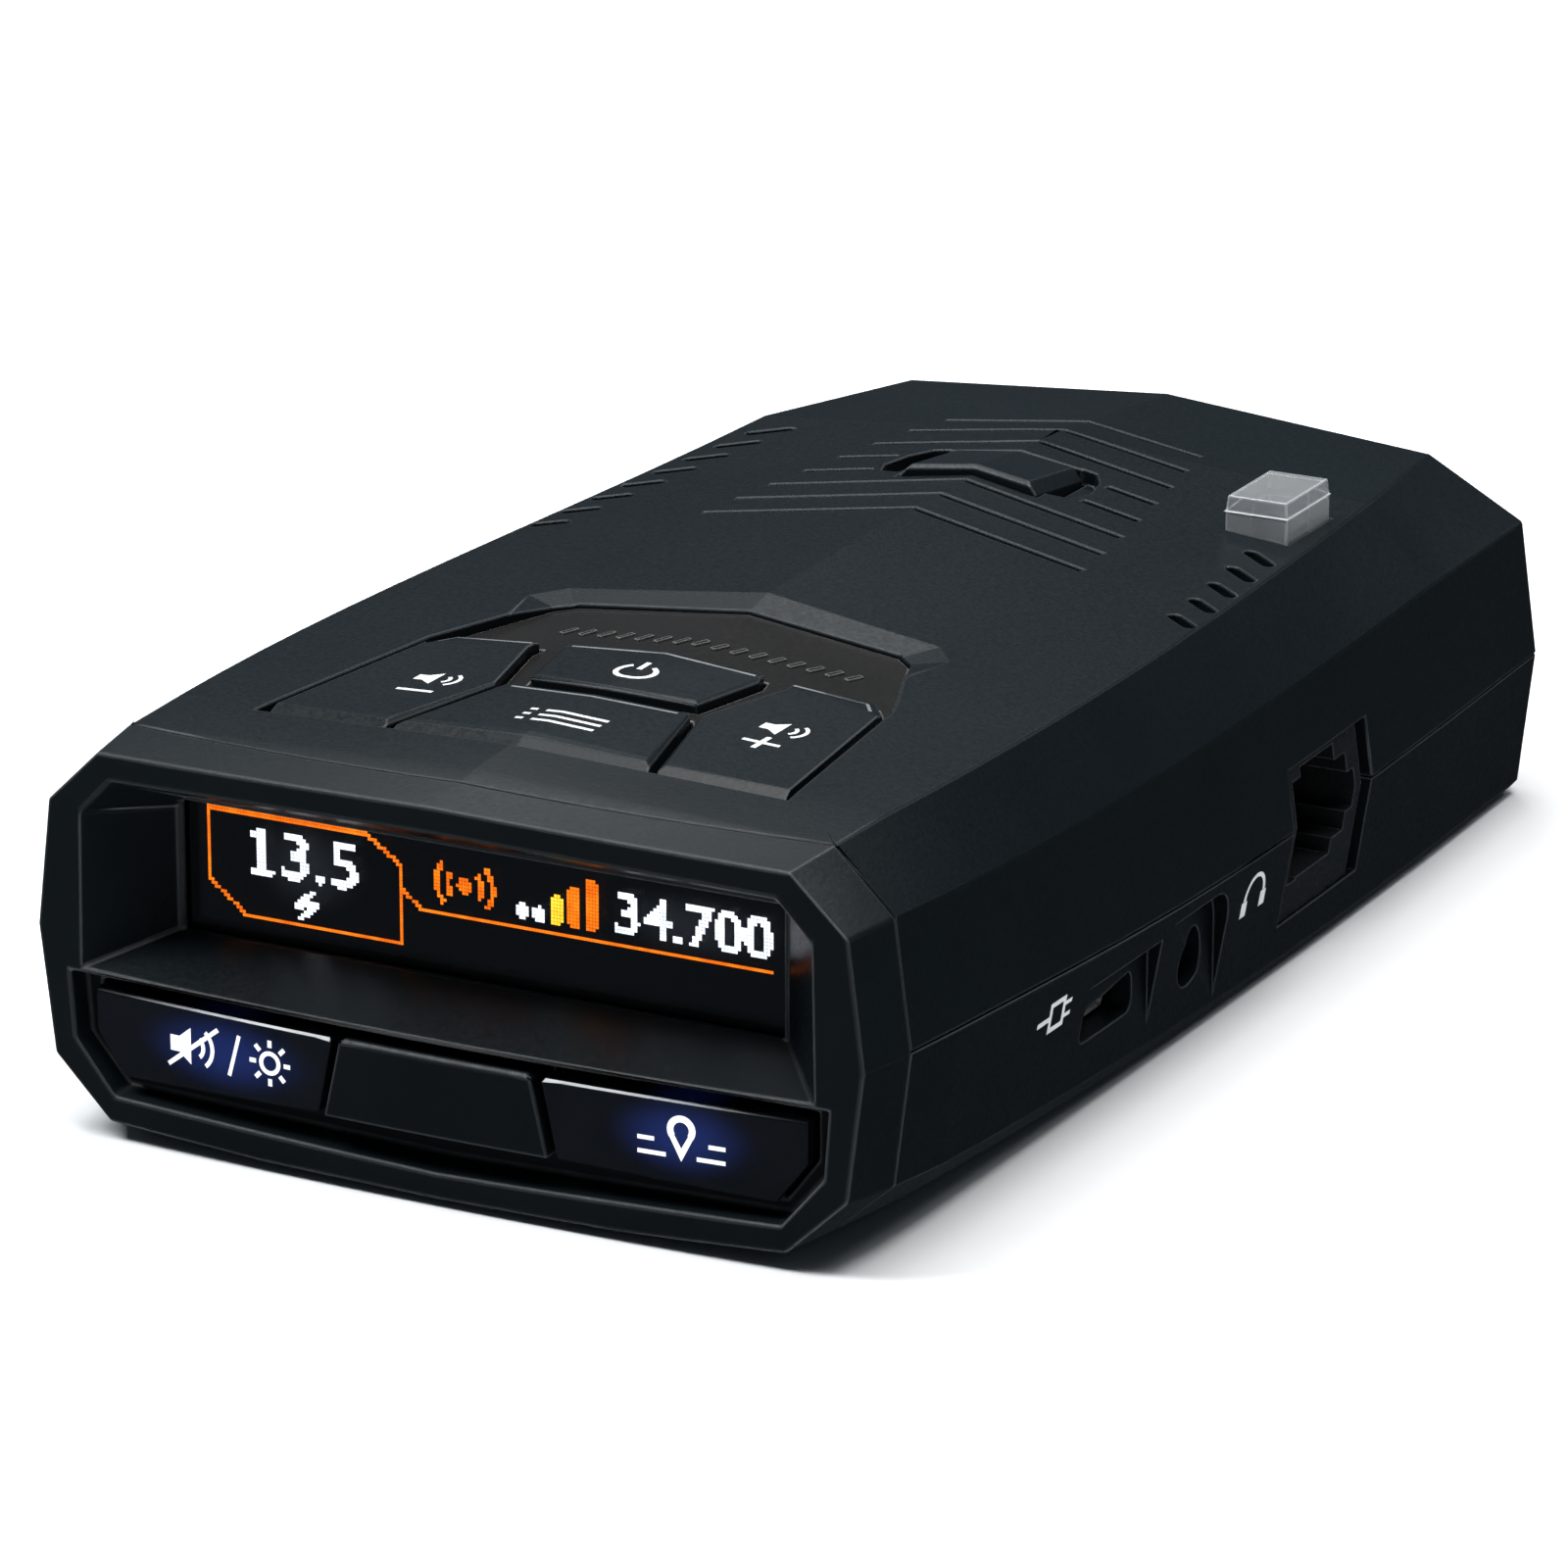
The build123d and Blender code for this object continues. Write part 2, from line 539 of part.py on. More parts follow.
def display_window():
    return box(-26.6, 26.6, WINDOW_Y + 0.02, WINDOW_Y + 1.0, 13.5, 26.5)


def display_panel():
    """Glass of the lit display."""
    return box(-25.4, 25.4, -53.0, -51.6, 14.2, 25.8)


def display_gasket():
    """Foam frame round the display glass."""
    return box(-26.6, 26.6, -53.15, -51.6, 13.5, 26.5) - box(-25.5, 25.5, -54, -51, 14.1, 25.9)


def front_board():
    return box(-27.0, 27.0, -51.45, -50.3, 5.0, 26.2) - box(-8, 8, -53, -50, 4, 6.65)


def front_switches():
    switches = []
    for x in (-18.0, 18.0):
        can = box(x - 3.0, x + 3.0, -54.2, -51.5, 5.0, 11.0)
        switches.append(can + rod_y(x, 8.0, SWITCH_TIP_Y, -54.1, 1.7))
    return Compound(children=switches)


def board_connector():
    """Right-angle header between the display board and the main board."""
    return box(-7.5, 7.5, -50.25, -46.5, BOARD_TOP + 0.02, 9.6)


# ---------------------------------------------------------------- bracket slot and release
def bracket_guide():
    """Moulded sleeve for the windscreen bracket, with a cage that holds the latch and its spring."""
    out_x = SLOT_X + 1.4
    sleeve = box(-out_x, out_x, GUIDE_Y0, 59.5, SLOT_Z0 - GUIDE_WALL, SLOT_Z1 + GUIDE_WALL)
    front = box(-15.2, 15.2, GUIDE_Y0, GUIDE_Y0 + 1.2, 11.4, SLOT_Z1 + GUIDE_WALL)
    sides = box(13.9, 15.2, GUIDE_Y0, 33.0, 11.4, 25.2) + box(-15.2, -13.9, GUIDE_Y0, 33.0, 11.4, 25.2)
    floor = box(-15.2, 15.2, GUIDE_Y0, 33.0, 11.4, 12.6)
    seat = post(0, RELEASE_Y, 12.5, 14.0, 1.2)
    guide = sleeve + front + sides + floor + seat
    guide = guide - box(-SLOT_X, SLOT_X, GUIDE_Y0 + 1.2, 61, SLOT_Z0, SLOT_Z1)
    return guide - box(-3.3, 3.3, RELEASE_Y - 1.5, RELEASE_Y + 1.5, 20, SLOT_Z0 + 0.5)


def release_yoke():
    """Frame round the sleeve that carries the latch tooth."""
    top = box(-13.4, 13.4, 26.6, 30.6, 27.6, 28.5)
    legs = box(12.2, 13.4, 26.6, 30.6, 18.6, 28.5) + box(-13.4, -12.2, 26.6, 30.6, 18.6, 28.5)
    bar = box(-13.4, 13.4, 26.6, 30.6, 18.6, 20.0)
    side = [(27.5, 19.9), (27.5, TOOTH_TOP), (28.3, TOOTH_TOP), (29.7, 22.2), (29.7, 19.9)]
    tooth = make_face(Polyline(*[(-2.9, y, z) for y, z in side], close=True))
    yoke = top + legs + bar + extrude(tooth, amount=5.8, dir=(1, 0, 0))
    return yoke - post(0, RELEASE_Y, 17, 18.9, 2.6)


def release_button():
    """Ridged thumb button: upright towards the driver, sloping down flush towards the road."""
    front = [(-6.1, 28.6), (6.1, 28.6), (6.1, 32.45), (0, 33.1), (-6.1, 32.45)]
    back = [(-6.1, 28.6), (6.1, 28.6), (6.1, 31.3), (0, 31.9), (-6.1, 31.3)]
    faces = []
    for outline, y in ((front, 22.9), (back, 32.6)):
        faces.append(make_face(Polyline(*[(x, y, z) for x, z in outline], close=True)))
    wedge = loft(faces, ruled=True)
    cap = wedge & plan_solid(both_sides(RELEASE_PLAN), 20, 40)
    ends = [e for e in cap.edges()
            if abs((e @ 0.5).X) > 5.9 and (e @ 0.5).Z > 31.0 and abs((e % 0.5).Y) > 0.9]
    cap = chamfer(ends, 0.9)
    lip = [e for e in cap.edges() if (e @ 0.5).Y < 25 and (e @ 0.5).Z > 32.2 and abs((e % 0.5).X) > 0.8]
    cap = chamfer(lip, 0.35)
    neck = box(-4.5, 4.5, 26.8, 30.4, 28.5, 29.2)
    return cap + neck


def release_spring():
    """Compression spring between the cage floor and the yoke."""
    turns, pitch, r, wire = 5, 1.13, 1.9, 0.22
    coil = Helix(pitch=pitch, height=pitch * turns, radius=r)
    profile = Plane(origin=coil @ 0, z_dir=coil % 0) * Circle(wire)
    spring = sweep(profile, path=coil, is_frenet=True)
    return Pos(0, RELEASE_Y, 12.6 + wire + 0.02) * spring


# ---------------------------------------------------------------- sockets
def usb_socket():
    outer = box(25.0, 31.6, USB_Y - 3.8, USB_Y + 3.8, USB_Z - 1.28, USB_Z + 1.28)
    outer = fillet(outer.edges().filter_by(Axis.X), 0.5)
    inner = box(25.4, 32.0, USB_Y - 3.45, USB_Y + 3.45, USB_Z - 0.95, USB_Z + 0.95)
    inner = chamfer(inner.edges().filter_by(Axis.X).group_by(Axis.Z)[0], 0.7)
    return outer - inner


def usb_tongue():
    return box(25.42, 30.6, USB_Y - 2.0, USB_Y + 2.0, USB_Z - 0.05, USB_Z + 0.55)


def audio_socket():
    body = box(19.0, 31.0, AUDIO_Y - 3.2, AUDIO_Y + 3.2, AUDIO_Z - 2.5, AUDIO_Z + 2.5)
    nose = rod_x(AUDIO_Y, AUDIO_Z, 30.5, 31.9, 2.3)
    return (body + nose) - rod_x(AUDIO_Y, AUDIO_Z, 19.9, 33.0, AUDIO_R)


def audio_contact():
    """Sprung strip that shows inside the socket's bore."""
    return box(21.0, 28.0, AUDIO_Y - 3.9, AUDIO_Y - 3.22, AUDIO_Z - 1.0, AUDIO_Z + 1.0)


def power_socket():
    """Six-way modular socket: plug cavity with a stepped latch channel on its road side."""
    face_x = 35.5
    body = box(20.0, face_x, POWER_Y0, POWER_Y1, POWER_Z0, POWER_Z1) & (Pos(-0.25, 0, 0) * HULL)
    cavity = box(21.4, 40, PLUG_Y0, PLUG_Y1, PLUG_Z0, PLUG_Z1)
    latch = box(21.4, 40, PLUG_Y1 - 0.1, PLUG_Y1 + 2.1, PLUG_Z0 + 1.3, PLUG_Z1 - 1.3)
    key = box(21.4, 40, PLUG_Y1 + 2.0, PLUG_Y1 + 3.3, PLUG_Z0 + 2.9, PLUG_Z1 - 2.9)
    entry = box(31.8, 40, PLUG_Y0 - 1.6, PLUG_Y0 + 0.1, PLUG_Z0 - 0.2, PLUG_Z1 - 0.8)
    return body - cavity - latch - key - entry


def power_contacts():
    """Six gilt wires bent into the plug cavity."""
    wires = []
    for i in range(6):
        z = 12.1 + (i - 2.5) * 1.02
        low = box(23.0, 30.4, PLUG_Y0 + 0.03, PLUG_Y0 + 0.42, z - 0.2, z + 0.2)
        rise = Pos(29.0, PLUG_Y0 + 0.9, z) * Rot(0, 0, 28) * Box(3.4, 0.36, 0.4)
        wires.append(low + rise)
    return Compound(children=wires)


# ---------------------------------------------------------------- electronics
def main_board():
    board = box(-29.5, 29.8, -50.1, 55.5, BOARD_TOP - BOARD_T, BOARD_TOP)
    for x, y in SCREWS:
        board = board - post(x, y, 0, 10, 3.1)
        board = board - box(min(x, x * 1.3), max(x, x * 1.3), y - 3.1, y + 3.1, 0, 10)
    for x, y in BOARD_SCREWS:
        board = board - post(x, y, 0, 10, 1.0)
    board = board - box(18.8, 40, AUDIO_Y - 4.1, AUDIO_Y + 3.4, 0, 10)
    board = board - box(19.8, 40, POWER_Y0 - 0.2, POWER_Y1 + 0.2, 0, 10)
    board = board - box(-40, -28.6, -60, -40, 0, 10) - box(28.6, 40, -60, -40, 0, 10)
    return max(board.solids(), key=lambda s: s.volume)


def gps_antenna():
    """Ceramic patch with its silvered top."""
    patch = box(-27.5, -15.5, 6.0, 18.0, BOARD_TOP + 0.02, 10.6)
    return patch + box(-26.3, -16.7, 7.2, 16.8, 10.6, 10.68)


def shield_can():
    """Tin lid over the microwave circuit."""
    can = box(-13.5, 16.5, -4.0, 33.5, BOARD_TOP + 0.02, 10.8)
    can = fillet(can.edges().filter_by(Axis.Z), 0.8)
    return can - box(-13.2, 16.2, -3.7, 33.2, BOARD_TOP - 1, 10.5)


def horn_antenna():
    """Cast horn that flares towards the road end."""
    z_mid = 13.4

    def flare(grow_by):
        faces = []
        for y, half_x, half_z in ((HORN_Y0, 6.5, 3.4), (HORN_Y0 + 6, 7.5, 3.8), (HORN_Y1, 15.0, 5.2)):
            outline = Rectangle(2 * (half_x + grow_by), 2 * (half_z + grow_by))
            faces.append(Pos(1.5, y, z_mid) * Rot(90, 0, 0) * outline)
        return loft(faces, ruled=True)

    horn = flare(1.4) - (flare(0.0) & box(-40, 40, HORN_Y0 + 1.2, 70, 0, 40))
    feet = box(-8.0, -4.0, HORN_Y0 + 1, HORN_Y0 + 6, BOARD_TOP + 0.02, 9.6)
    feet = feet + box(7.0, 11.0, HORN_Y0 + 1, HORN_Y0 + 6, BOARD_TOP + 0.02, 9.6)
    return horn + (feet - flare(0.5))


def laser_sensor():
    """Photodiode under the prism's light pipe."""
    return box(PRISM_X - 2.4, PRISM_X + 2.4, PRISM_Y - 2.4, PRISM_Y + 2.4, BOARD_TOP + 0.02, 9.8)


def rear_laser_prism():
    """Clear prism on the roof, with a flared foot and a light pipe down to its sensor."""
    foot = box(PRISM_X - 2.65, PRISM_X + 2.65, PRISM_Y - 4.05, PRISM_Y + 4.05, 26.5, 31.4)
    head = Pos(PRISM_X, PRISM_Y, 31.3) * extrude(Rectangle(5.3, 8.1), amount=1.35, taper=6)
    flange = box(PRISM_X - 3.4, PRISM_X + 2.9, PRISM_Y - 4.9, PRISM_Y + 4.9, 25.4, 26.6)
    stem = Pos(PRISM_X, PRISM_Y, 18.2) * Rot(180, 0, 0) * extrude(Rectangle(4.6, 6.8), amount=8.2, taper=5)
    pipe = box(PRISM_X - 2.3, PRISM_X + 2.3, PRISM_Y - 3.4, PRISM_Y + 3.4, 18.1, 25.8)
    return foot + head + flange + stem + pipe


def road_window():
    """Smoked infrared window in the road end, flanged behind the wall."""
    plate = box(-26.85, 26.85, 59.6, 61.2, 4.65, 19.85)
    flange = box(-28.2, 28.2, 58.9, 59.62, 3.6, 20.9)
    return plate + flange


def road_laser_lens():
    lens = rod_y(LASER_X, LASER_Z, 56.6, 57.6, 4.0)
    dome = Pos(LASER_X, 50.4, LASER_Z) * Sphere(8.4)
    dome = dome & box(LASER_X - 5, LASER_X + 5, 57.5, 60, LASER_Z - 5, LASER_Z + 5)
    return lens + (dome & rod_y(LASER_X, LASER_Z, 50, 60, 3.9))


def road_laser_sensor():
    holder = box(LASER_X - 4.6, LASER_X + 4.6, 51.0, 56.58, LASER_Z - 4.6, LASER_Z + 4.6)
    return holder - (Pos(LASER_X, 54.4, LASER_Z) * Rot(90, 0, 0) * Cone(3.8, 1.6, 4.6))


# ---------------------------------------------------------------- speaker
def speaker():
    """Basket and magnet of the alert speaker, cone side up."""
    rim = post(0, SPEAKER_Y, 25.6, 26.6, SPEAKER_R) - post(0, SPEAKER_Y, 25, 27, SPEAKER_R - 1.5)
    bowl = Pos(0, SPEAKER_Y, 23.4) * Cone(7.5, SPEAKER_R - 0.2, 4.4)
    bowl = bowl - Pos(0, SPEAKER_Y, 24.2) * Cone(6.6, SPEAKER_R - 1.2, 4.4)
    magnet = post(0, SPEAKER_Y, 17.4, 21.4, 7.6)
    return rim + bowl + magnet


def speaker_cone():
    cone = Pos(0, SPEAKER_Y, 24.75) * Cone(5.4, SPEAKER_R - 2.2, 2.4)
    return cone - Pos(0, SPEAKER_Y, 25.05) * Cone(5.0, SPEAKER_R - 2.2, 2.4)


def speaker_gasket():
    return post(0, SPEAKER_Y, 26.62, 28.4, SPEAKER_R) - post(0, SPEAKER_Y, 26, 30, SPEAKER_R - 1.6)


NODES = {
    "top_cover": top_cover, "bottom_cover": bottom_cover, "front_bezel": front_bezel,
    "display_window": display_window, "display_panel": display_panel, "display_gasket": display_gasket,
    "front_board": front_board, "front_switches": front_switches, "board_connector": board_connector,
    "front_center_panel": front_center_panel, "mark_button": soft_key,
    "button_trim_plate": button_trim_plate, "power_button": power_button, "menu_button": menu_button,
    "volume_up_button": volume_up_button, "keypad": keypad, "key_board": key_board,
    "key_board_screws": key_board_screws, "release_button": release_button, "release_yoke": release_yoke,
    "release_spring": release_spring, "bracket_guide": bracket_guide, "rear_laser_prism": rear_laser_prism,
    "laser_sensor": laser_sensor, "speaker": speaker, "speaker_cone": speaker_cone,
    "speaker_gasket": speaker_gasket, "main_board": main_board, "shield_can": shield_can,
    "gps_antenna": gps_antenna, "horn_antenna": horn_antenna, "road_window": road_window,
    "road_laser_lens": road_laser_lens, "road_laser_sensor": road_laser_sensor, "usb_socket": usb_socket,
    "usb_tongue": usb_tongue, "audio_socket": audio_socket, "audio_contact": audio_contact,
    "power_socket": power_socket, "power_contacts": power_contacts, "label_plate": label_plate,
    "case_screws": case_screws, "board_screws": board_screws,
}

for name, build in NODES.items():
    shape = build()
    export_step(shape, f"parts/{name}.step")
    if name == "mark_button":
        export_step(mirror_x(shape), "parts/mute_button.step")
    if name == "volume_up_button":
        export_step(mirror_x(shape), "parts/volume_down_button.step")
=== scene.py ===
import json
import math

import bmesh
import bpy
from mathutils import Euler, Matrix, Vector
from mathutils.bvhtree import BVHTree


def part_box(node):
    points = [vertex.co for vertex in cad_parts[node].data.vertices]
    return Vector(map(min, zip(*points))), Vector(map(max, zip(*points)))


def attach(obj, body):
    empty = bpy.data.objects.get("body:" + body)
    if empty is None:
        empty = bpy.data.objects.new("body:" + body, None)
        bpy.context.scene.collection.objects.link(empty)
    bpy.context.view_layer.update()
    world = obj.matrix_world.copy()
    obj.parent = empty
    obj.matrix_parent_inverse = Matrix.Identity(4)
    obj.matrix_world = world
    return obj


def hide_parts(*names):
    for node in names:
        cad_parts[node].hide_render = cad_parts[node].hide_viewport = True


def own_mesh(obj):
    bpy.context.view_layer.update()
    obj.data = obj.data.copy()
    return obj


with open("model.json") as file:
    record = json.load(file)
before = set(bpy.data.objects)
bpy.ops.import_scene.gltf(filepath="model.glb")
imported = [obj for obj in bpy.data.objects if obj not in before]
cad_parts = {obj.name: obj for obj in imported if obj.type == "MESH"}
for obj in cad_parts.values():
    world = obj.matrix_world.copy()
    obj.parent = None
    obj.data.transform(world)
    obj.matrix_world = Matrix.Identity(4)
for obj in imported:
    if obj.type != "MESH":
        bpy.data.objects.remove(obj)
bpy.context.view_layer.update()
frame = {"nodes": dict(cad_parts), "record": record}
nodes = frame["nodes"]
MM = 0.001


# ------------------------------------------------------------------ camera
# A long lens a little above the detector and to the driver's right, looking at the display end.
camera_data = bpy.data.cameras.new("camera")
camera_data.sensor_width = 36.0
camera_data.lens = 191.25
camera = bpy.data.objects.new("camera", camera_data)
bpy.context.scene.collection.objects.link(camera)
camera.location = (0.28044, -0.54059, 0.21954)
camera.rotation_euler = Euler((math.radians(71.316), 0.0, math.radians(27.764)), "XYZ")
bpy.context.scene.camera = camera


# ------------------------------------------------------------------ floor and studio light
# A sheet of pale paper lit from straight above, in a dim surround. The paper isn't mirrored in the dark
# case. Three small soft boxes draw out the slopes that lean back and the rounded front edges.
def new_material(name):
    """A material with one Principled shader, and its node tree."""
    material = bpy.data.materials.new(name)
    material.use_nodes = True
    tree = material.node_tree
    tree.nodes.clear()
    shader = tree.nodes.new("ShaderNodeBsdfPrincipled")
    output = tree.nodes.new("ShaderNodeOutputMaterial")
    tree.links.new(shader.outputs["BSDF"], output.inputs["Surface"])
    return material, tree, shader


def noise(tree, scale, detail=3.0, stretch=(1, 1, 1)):
    """Noise in the object's own space."""
    place = tree.nodes.new("ShaderNodeMapping")
    place.inputs["Scale"].default_value = stretch
    tree.links.new(tree.nodes.new("ShaderNodeTexCoord").outputs["Object"], place.inputs["Vector"])
    texture = tree.nodes.new("ShaderNodeTexNoise")
    texture.inputs["Scale"].default_value = scale
    texture.inputs["Detail"].default_value = detail
    tree.links.new(place.outputs["Vector"], texture.inputs["Vector"])
    return texture.outputs["Fac"]


def spread(tree, value, low, high, start=0.3, end=0.7):
    """Maps a value that lies between start and end onto low to high."""
    node = tree.nodes.new("ShaderNodeMapRange")
    node.inputs["From Min"].default_value = start
    node.inputs["From Max"].default_value = end
    node.inputs["To Min"].default_value = low
    node.inputs["To Max"].default_value = high
    tree.links.new(value, node.inputs["Value"])
    return node.outputs["Result"]


def blend_colours(tree, share, low, high):
    """Mix of two colours, or of a colour socket and a colour."""
    mix = tree.nodes.new("ShaderNodeMix")
    mix.data_type = "RGBA"
    tree.links.new(share, mix.inputs["Factor"])
    if isinstance(low, tuple):
        mix.inputs["A"].default_value = (*low, 1.0)
    else:
        tree.links.new(low, mix.inputs["A"])
    mix.inputs["B"].default_value = (*high, 1.0)
    return mix.outputs["Result"]


paper, paper_tree, paper_shader = new_material("studio_paper")
paper_share = spread(paper_tree, noise(paper_tree, 3.0), 0.0, 1.0)
paper_colour = blend_colours(paper_tree, paper_share, (0.84, 0.845, 0.85), (0.87, 0.875, 0.88))
paper_tree.links.new(paper_colour, paper_shader.inputs["Base Color"])
paper_shader.inputs["Roughness"].default_value = 0.95
paper_shader.inputs["Specular IOR Level"].default_value = 0.1

floor_mesh = bpy.data.meshes.new("studio_floor")
floor_mesh.from_pydata([(-4, -4, 0), (4, -4, 0), (4, 4, 0), (-4, 4, 0)], [], [(0, 1, 2, 3)])
floor_mesh.materials.append(paper)
floor = bpy.data.objects.new("studio_floor", floor_mesh)
floor.location = (0, 0, -0.0001)
floor.visible_glossy = False
floor.visible_transmission = False
bpy.context.scene.collection.objects.link(floor)

world = bpy.data.worlds.new("surround")
world.use_nodes = True
sky = world.node_tree
height = sky.nodes.new("ShaderNodeSeparateXYZ")
sky.links.new(sky.nodes.new("ShaderNodeTexCoord").outputs["Generated"], height.inputs["Vector"])
bands = sky.nodes.new("ShaderNodeValToRGB")
bands.color_ramp.elements[0].position = 0.05
bands.color_ramp.elements[0].color = (0.045, 0.055, 0.065, 1.0)
bands.color_ramp.elements[1].position = 0.97
bands.color_ramp.elements[1].color = (0.6, 0.6, 0.6, 1.0)
middle_band = bands.color_ramp.elements.new(0.80)
middle_band.color = (0.05, 0.06, 0.07, 1.0)
sky.links.new(height.outputs["Z"], bands.inputs["Fac"])
background = sky.nodes["Background"]
sky.links.new(bands.outputs["Color"], background.inputs["Color"])
background.inputs["Strength"].default_value = 1.0
bpy.context.scene.world = world
bpy.context.scene.view_settings.view_transform = "Standard"


def soft_box(name, place, target, width, height, watts, colour=(1.0, 1.0, 1.0)):
    """A rectangular area light aimed at a point."""
    data = bpy.data.lights.new(name, "AREA")
    data.shape = "RECTANGLE"
    data.size, data.size_y = width, height
    data.energy = watts
    data.color = colour
    lamp = bpy.data.objects.new(name, data)
    lamp.location = place
    lamp.rotation_euler = (Vector(target) - Vector(place)).to_track_quat("-Z", "Y").to_euler()
    bpy.context.scene.collection.objects.link(lamp)


soft_box("overhead_box", (0.0, 0.0, 1.9), (0, 0, 0), 1.6, 1.6, 50.0)
soft_box("back_left_box", (-0.58, 0.92, 1.05), (0, 0, 0.03), 0.4, 0.3, 2.0, (0.93, 0.97, 1.0))
soft_box("back_right_box", (0.62, 1.0, 1.05), (0, 0, 0.03), 0.4, 0.3, 2.6, (0.93, 0.97, 1.0))
soft_box("edge_box", (-0.64, -0.45, 1.16), (0, 0, 0.02), 0.4, 0.4, 12.0, (0.93, 0.97, 1.0))


# ------------------------------------------------------------------ bottom cover and top cover
# Two injection-moulded ABS shells, blue-black all through, with a fine spark-eroded grain and small
# mould radii along every crease. They meet on the falling line along the flanks.
GRAIN_SCALE = 2600.0
GRAIN_DEPTH = 0.04 * MM
BROAD_FACE = 4.0 * MM * MM
CRISP_ANGLE = math.radians(3.0)
MOULDING_GLOSS = 0.22
body_of = {n: b for b, members in frame["record"]["behaviour"]["bodies"].items() for n in members}


def rounded_edge_mask(tree, radius):
    """White where the surface turns within the radius, black on open faces, and the rounded normal."""
    rounded = tree.nodes.new("ShaderNodeBevel")
    rounded.samples = 4
    rounded.inputs["Radius"].default_value = radius
    flat = tree.nodes.new("ShaderNodeNewGeometry")
    dot = tree.nodes.new("ShaderNodeVectorMath")
    dot.operation = "DOT_PRODUCT"
    tree.links.new(rounded.outputs["Normal"], dot.inputs[0])
    tree.links.new(flat.outputs["Normal"], dot.inputs[1])
    return spread(tree, dot.outputs["Value"], 0.6, 0.0, 0.90, 0.995), rounded.outputs["Normal"]


def moulded(name, low, high, roughness, grain=0.3, edge=0.3, highlight_colour=(0.13, 0.145, 0.16)):
    """Grained moulding: faint mottling, erosion grain, and a painted highlight, a paler colour along
    rounded edges.
    """
    material, tree, shader = new_material(name)
    edge_highlight, rounded_normal = rounded_edge_mask(tree, edge * MM)
    mottled = blend_colours(tree, spread(tree, noise(tree, 70.0), 0.0, 1.0), low, high)
    # Painted highlight: the colour turns paler where the surface rounds over an edge.
    tree.links.new(blend_colours(tree, edge_highlight, mottled, highlight_colour), shader.inputs["Base Color"])
    pits = noise(tree, GRAIN_SCALE, 4.0)
    tree.links.new(spread(tree, pits, roughness - 0.05, roughness + 0.07), shader.inputs["Roughness"])
    bump = tree.nodes.new("ShaderNodeBump")
    bump.inputs["Strength"].default_value = grain
    bump.inputs["Distance"].default_value = GRAIN_DEPTH
    tree.links.new(pits, bump.inputs["Height"])
    tree.links.new(rounded_normal, bump.inputs["Normal"])
    tree.links.new(bump.outputs["Normal"], shader.inputs["Normal"])
    shader.inputs["Specular IOR Level"].default_value = MOULDING_GLOSS
    return material


def finish_node(name, material):
    """Gives a CAD piece its finish."""
    slots = nodes[name].data.materials
    slots.clear()
    slots.append(material)


def softened(name, width, material, segments=3, angle=22.0):
    """The piece with its moulded edges rounded, in place of the sharp CAD solid. Folds between two
    broad faces stay crisp, even where they are too shallow to be rounded."""
    work = bmesh.new()
    work.from_mesh(nodes[name].data)
    bmesh.ops.remove_doubles(work, verts=work.verts, dist=0.003 * MM)
    bmesh.ops.dissolve_limit(work, angle_limit=math.radians(0.3), verts=work.verts, edges=work.edges)
    work.verts.index_update()
    places = [v.co.copy() for v in work.verts]
    faces = [[v.index for v in f.verts] for f in work.faces]
    work.free()
    mesh = bpy.data.meshes.new(name + "_moulding")
    mesh.from_pydata(places, [], faces)
    mesh.materials.append(material)
    mesh.shade_smooth()
    work = bmesh.new()
    work.from_mesh(mesh)
    for edge in work.edges:
        broad = all(f.calc_area() > BROAD_FACE for f in edge.link_faces)
        if broad and edge.is_manifold and edge.calc_face_angle() > CRISP_ANGLE:
            edge.smooth = False
    work.to_mesh(mesh)
    work.free()
    piece = bpy.data.objects.new(name + "_moulding", mesh)
    bpy.context.scene.collection.objects.link(piece)
    rounding = piece.modifiers.new("mould_radius", "BEVEL")
    rounding.width = width * MM
    rounding.segments = segments
    rounding.limit_method = "ANGLE"
    rounding.angle_limit = math.radians(angle)
    rounding.use_clamp_overlap = False
    rounding.harden_normals = True
    weighted = piece.modifiers.new("flat_faces", "WEIGHTED_NORMAL")
    weighted.keep_sharp = True
    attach(piece, body_of[name])
    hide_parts(name)


# The case's rounded edges and slot edges are painted pale with the default colour, as a painted highlight.
case_plastic = moulded("case_plastic", (0.0026, 0.0052, 0.0070), (0.0036, 0.0066, 0.0086), 0.36, 0.3, 0.22)
finish_node("bottom_cover", case_plastic)
softened("top_cover", 0.14, case_plastic, 2, 25.0)


# ------------------------------------------------------------------ main board and its parts
# Green-masked fibreglass board with a tin shield can over the microwave circuit, a fired ceramic
# patch antenna, a cast zinc horn and a moulded header up to the display board.
def plain(name, low, high, roughness, metallic=0.0, scale=160.0, stretch=(1, 1, 1), depth=0.00002):
    """A finish with two-tone noise, uneven roughness and a shallow bump of the same noise."""
    material, tree, shader = new_material(name)
    cloud = noise(tree, scale, 4.0, stretch)
    tone = blend_colours(tree, spread(tree, cloud, 0.0, 1.0), low, high)
    tree.links.new(tone, shader.inputs["Base Color"])
    tree.links.new(spread(tree, cloud, roughness - 0.06, roughness + 0.06), shader.inputs["Roughness"])
    bump = tree.nodes.new("ShaderNodeBump")
    bump.inputs["Strength"].default_value = 0.4
    bump.inputs["Distance"].default_value = depth
    tree.links.new(noise(tree, scale * 8, 3.0, stretch), bump.inputs["Height"])
    tree.links.new(bump.outputs["Normal"], shader.inputs["Normal"])
    shader.inputs["Metallic"].default_value = metallic
    return material


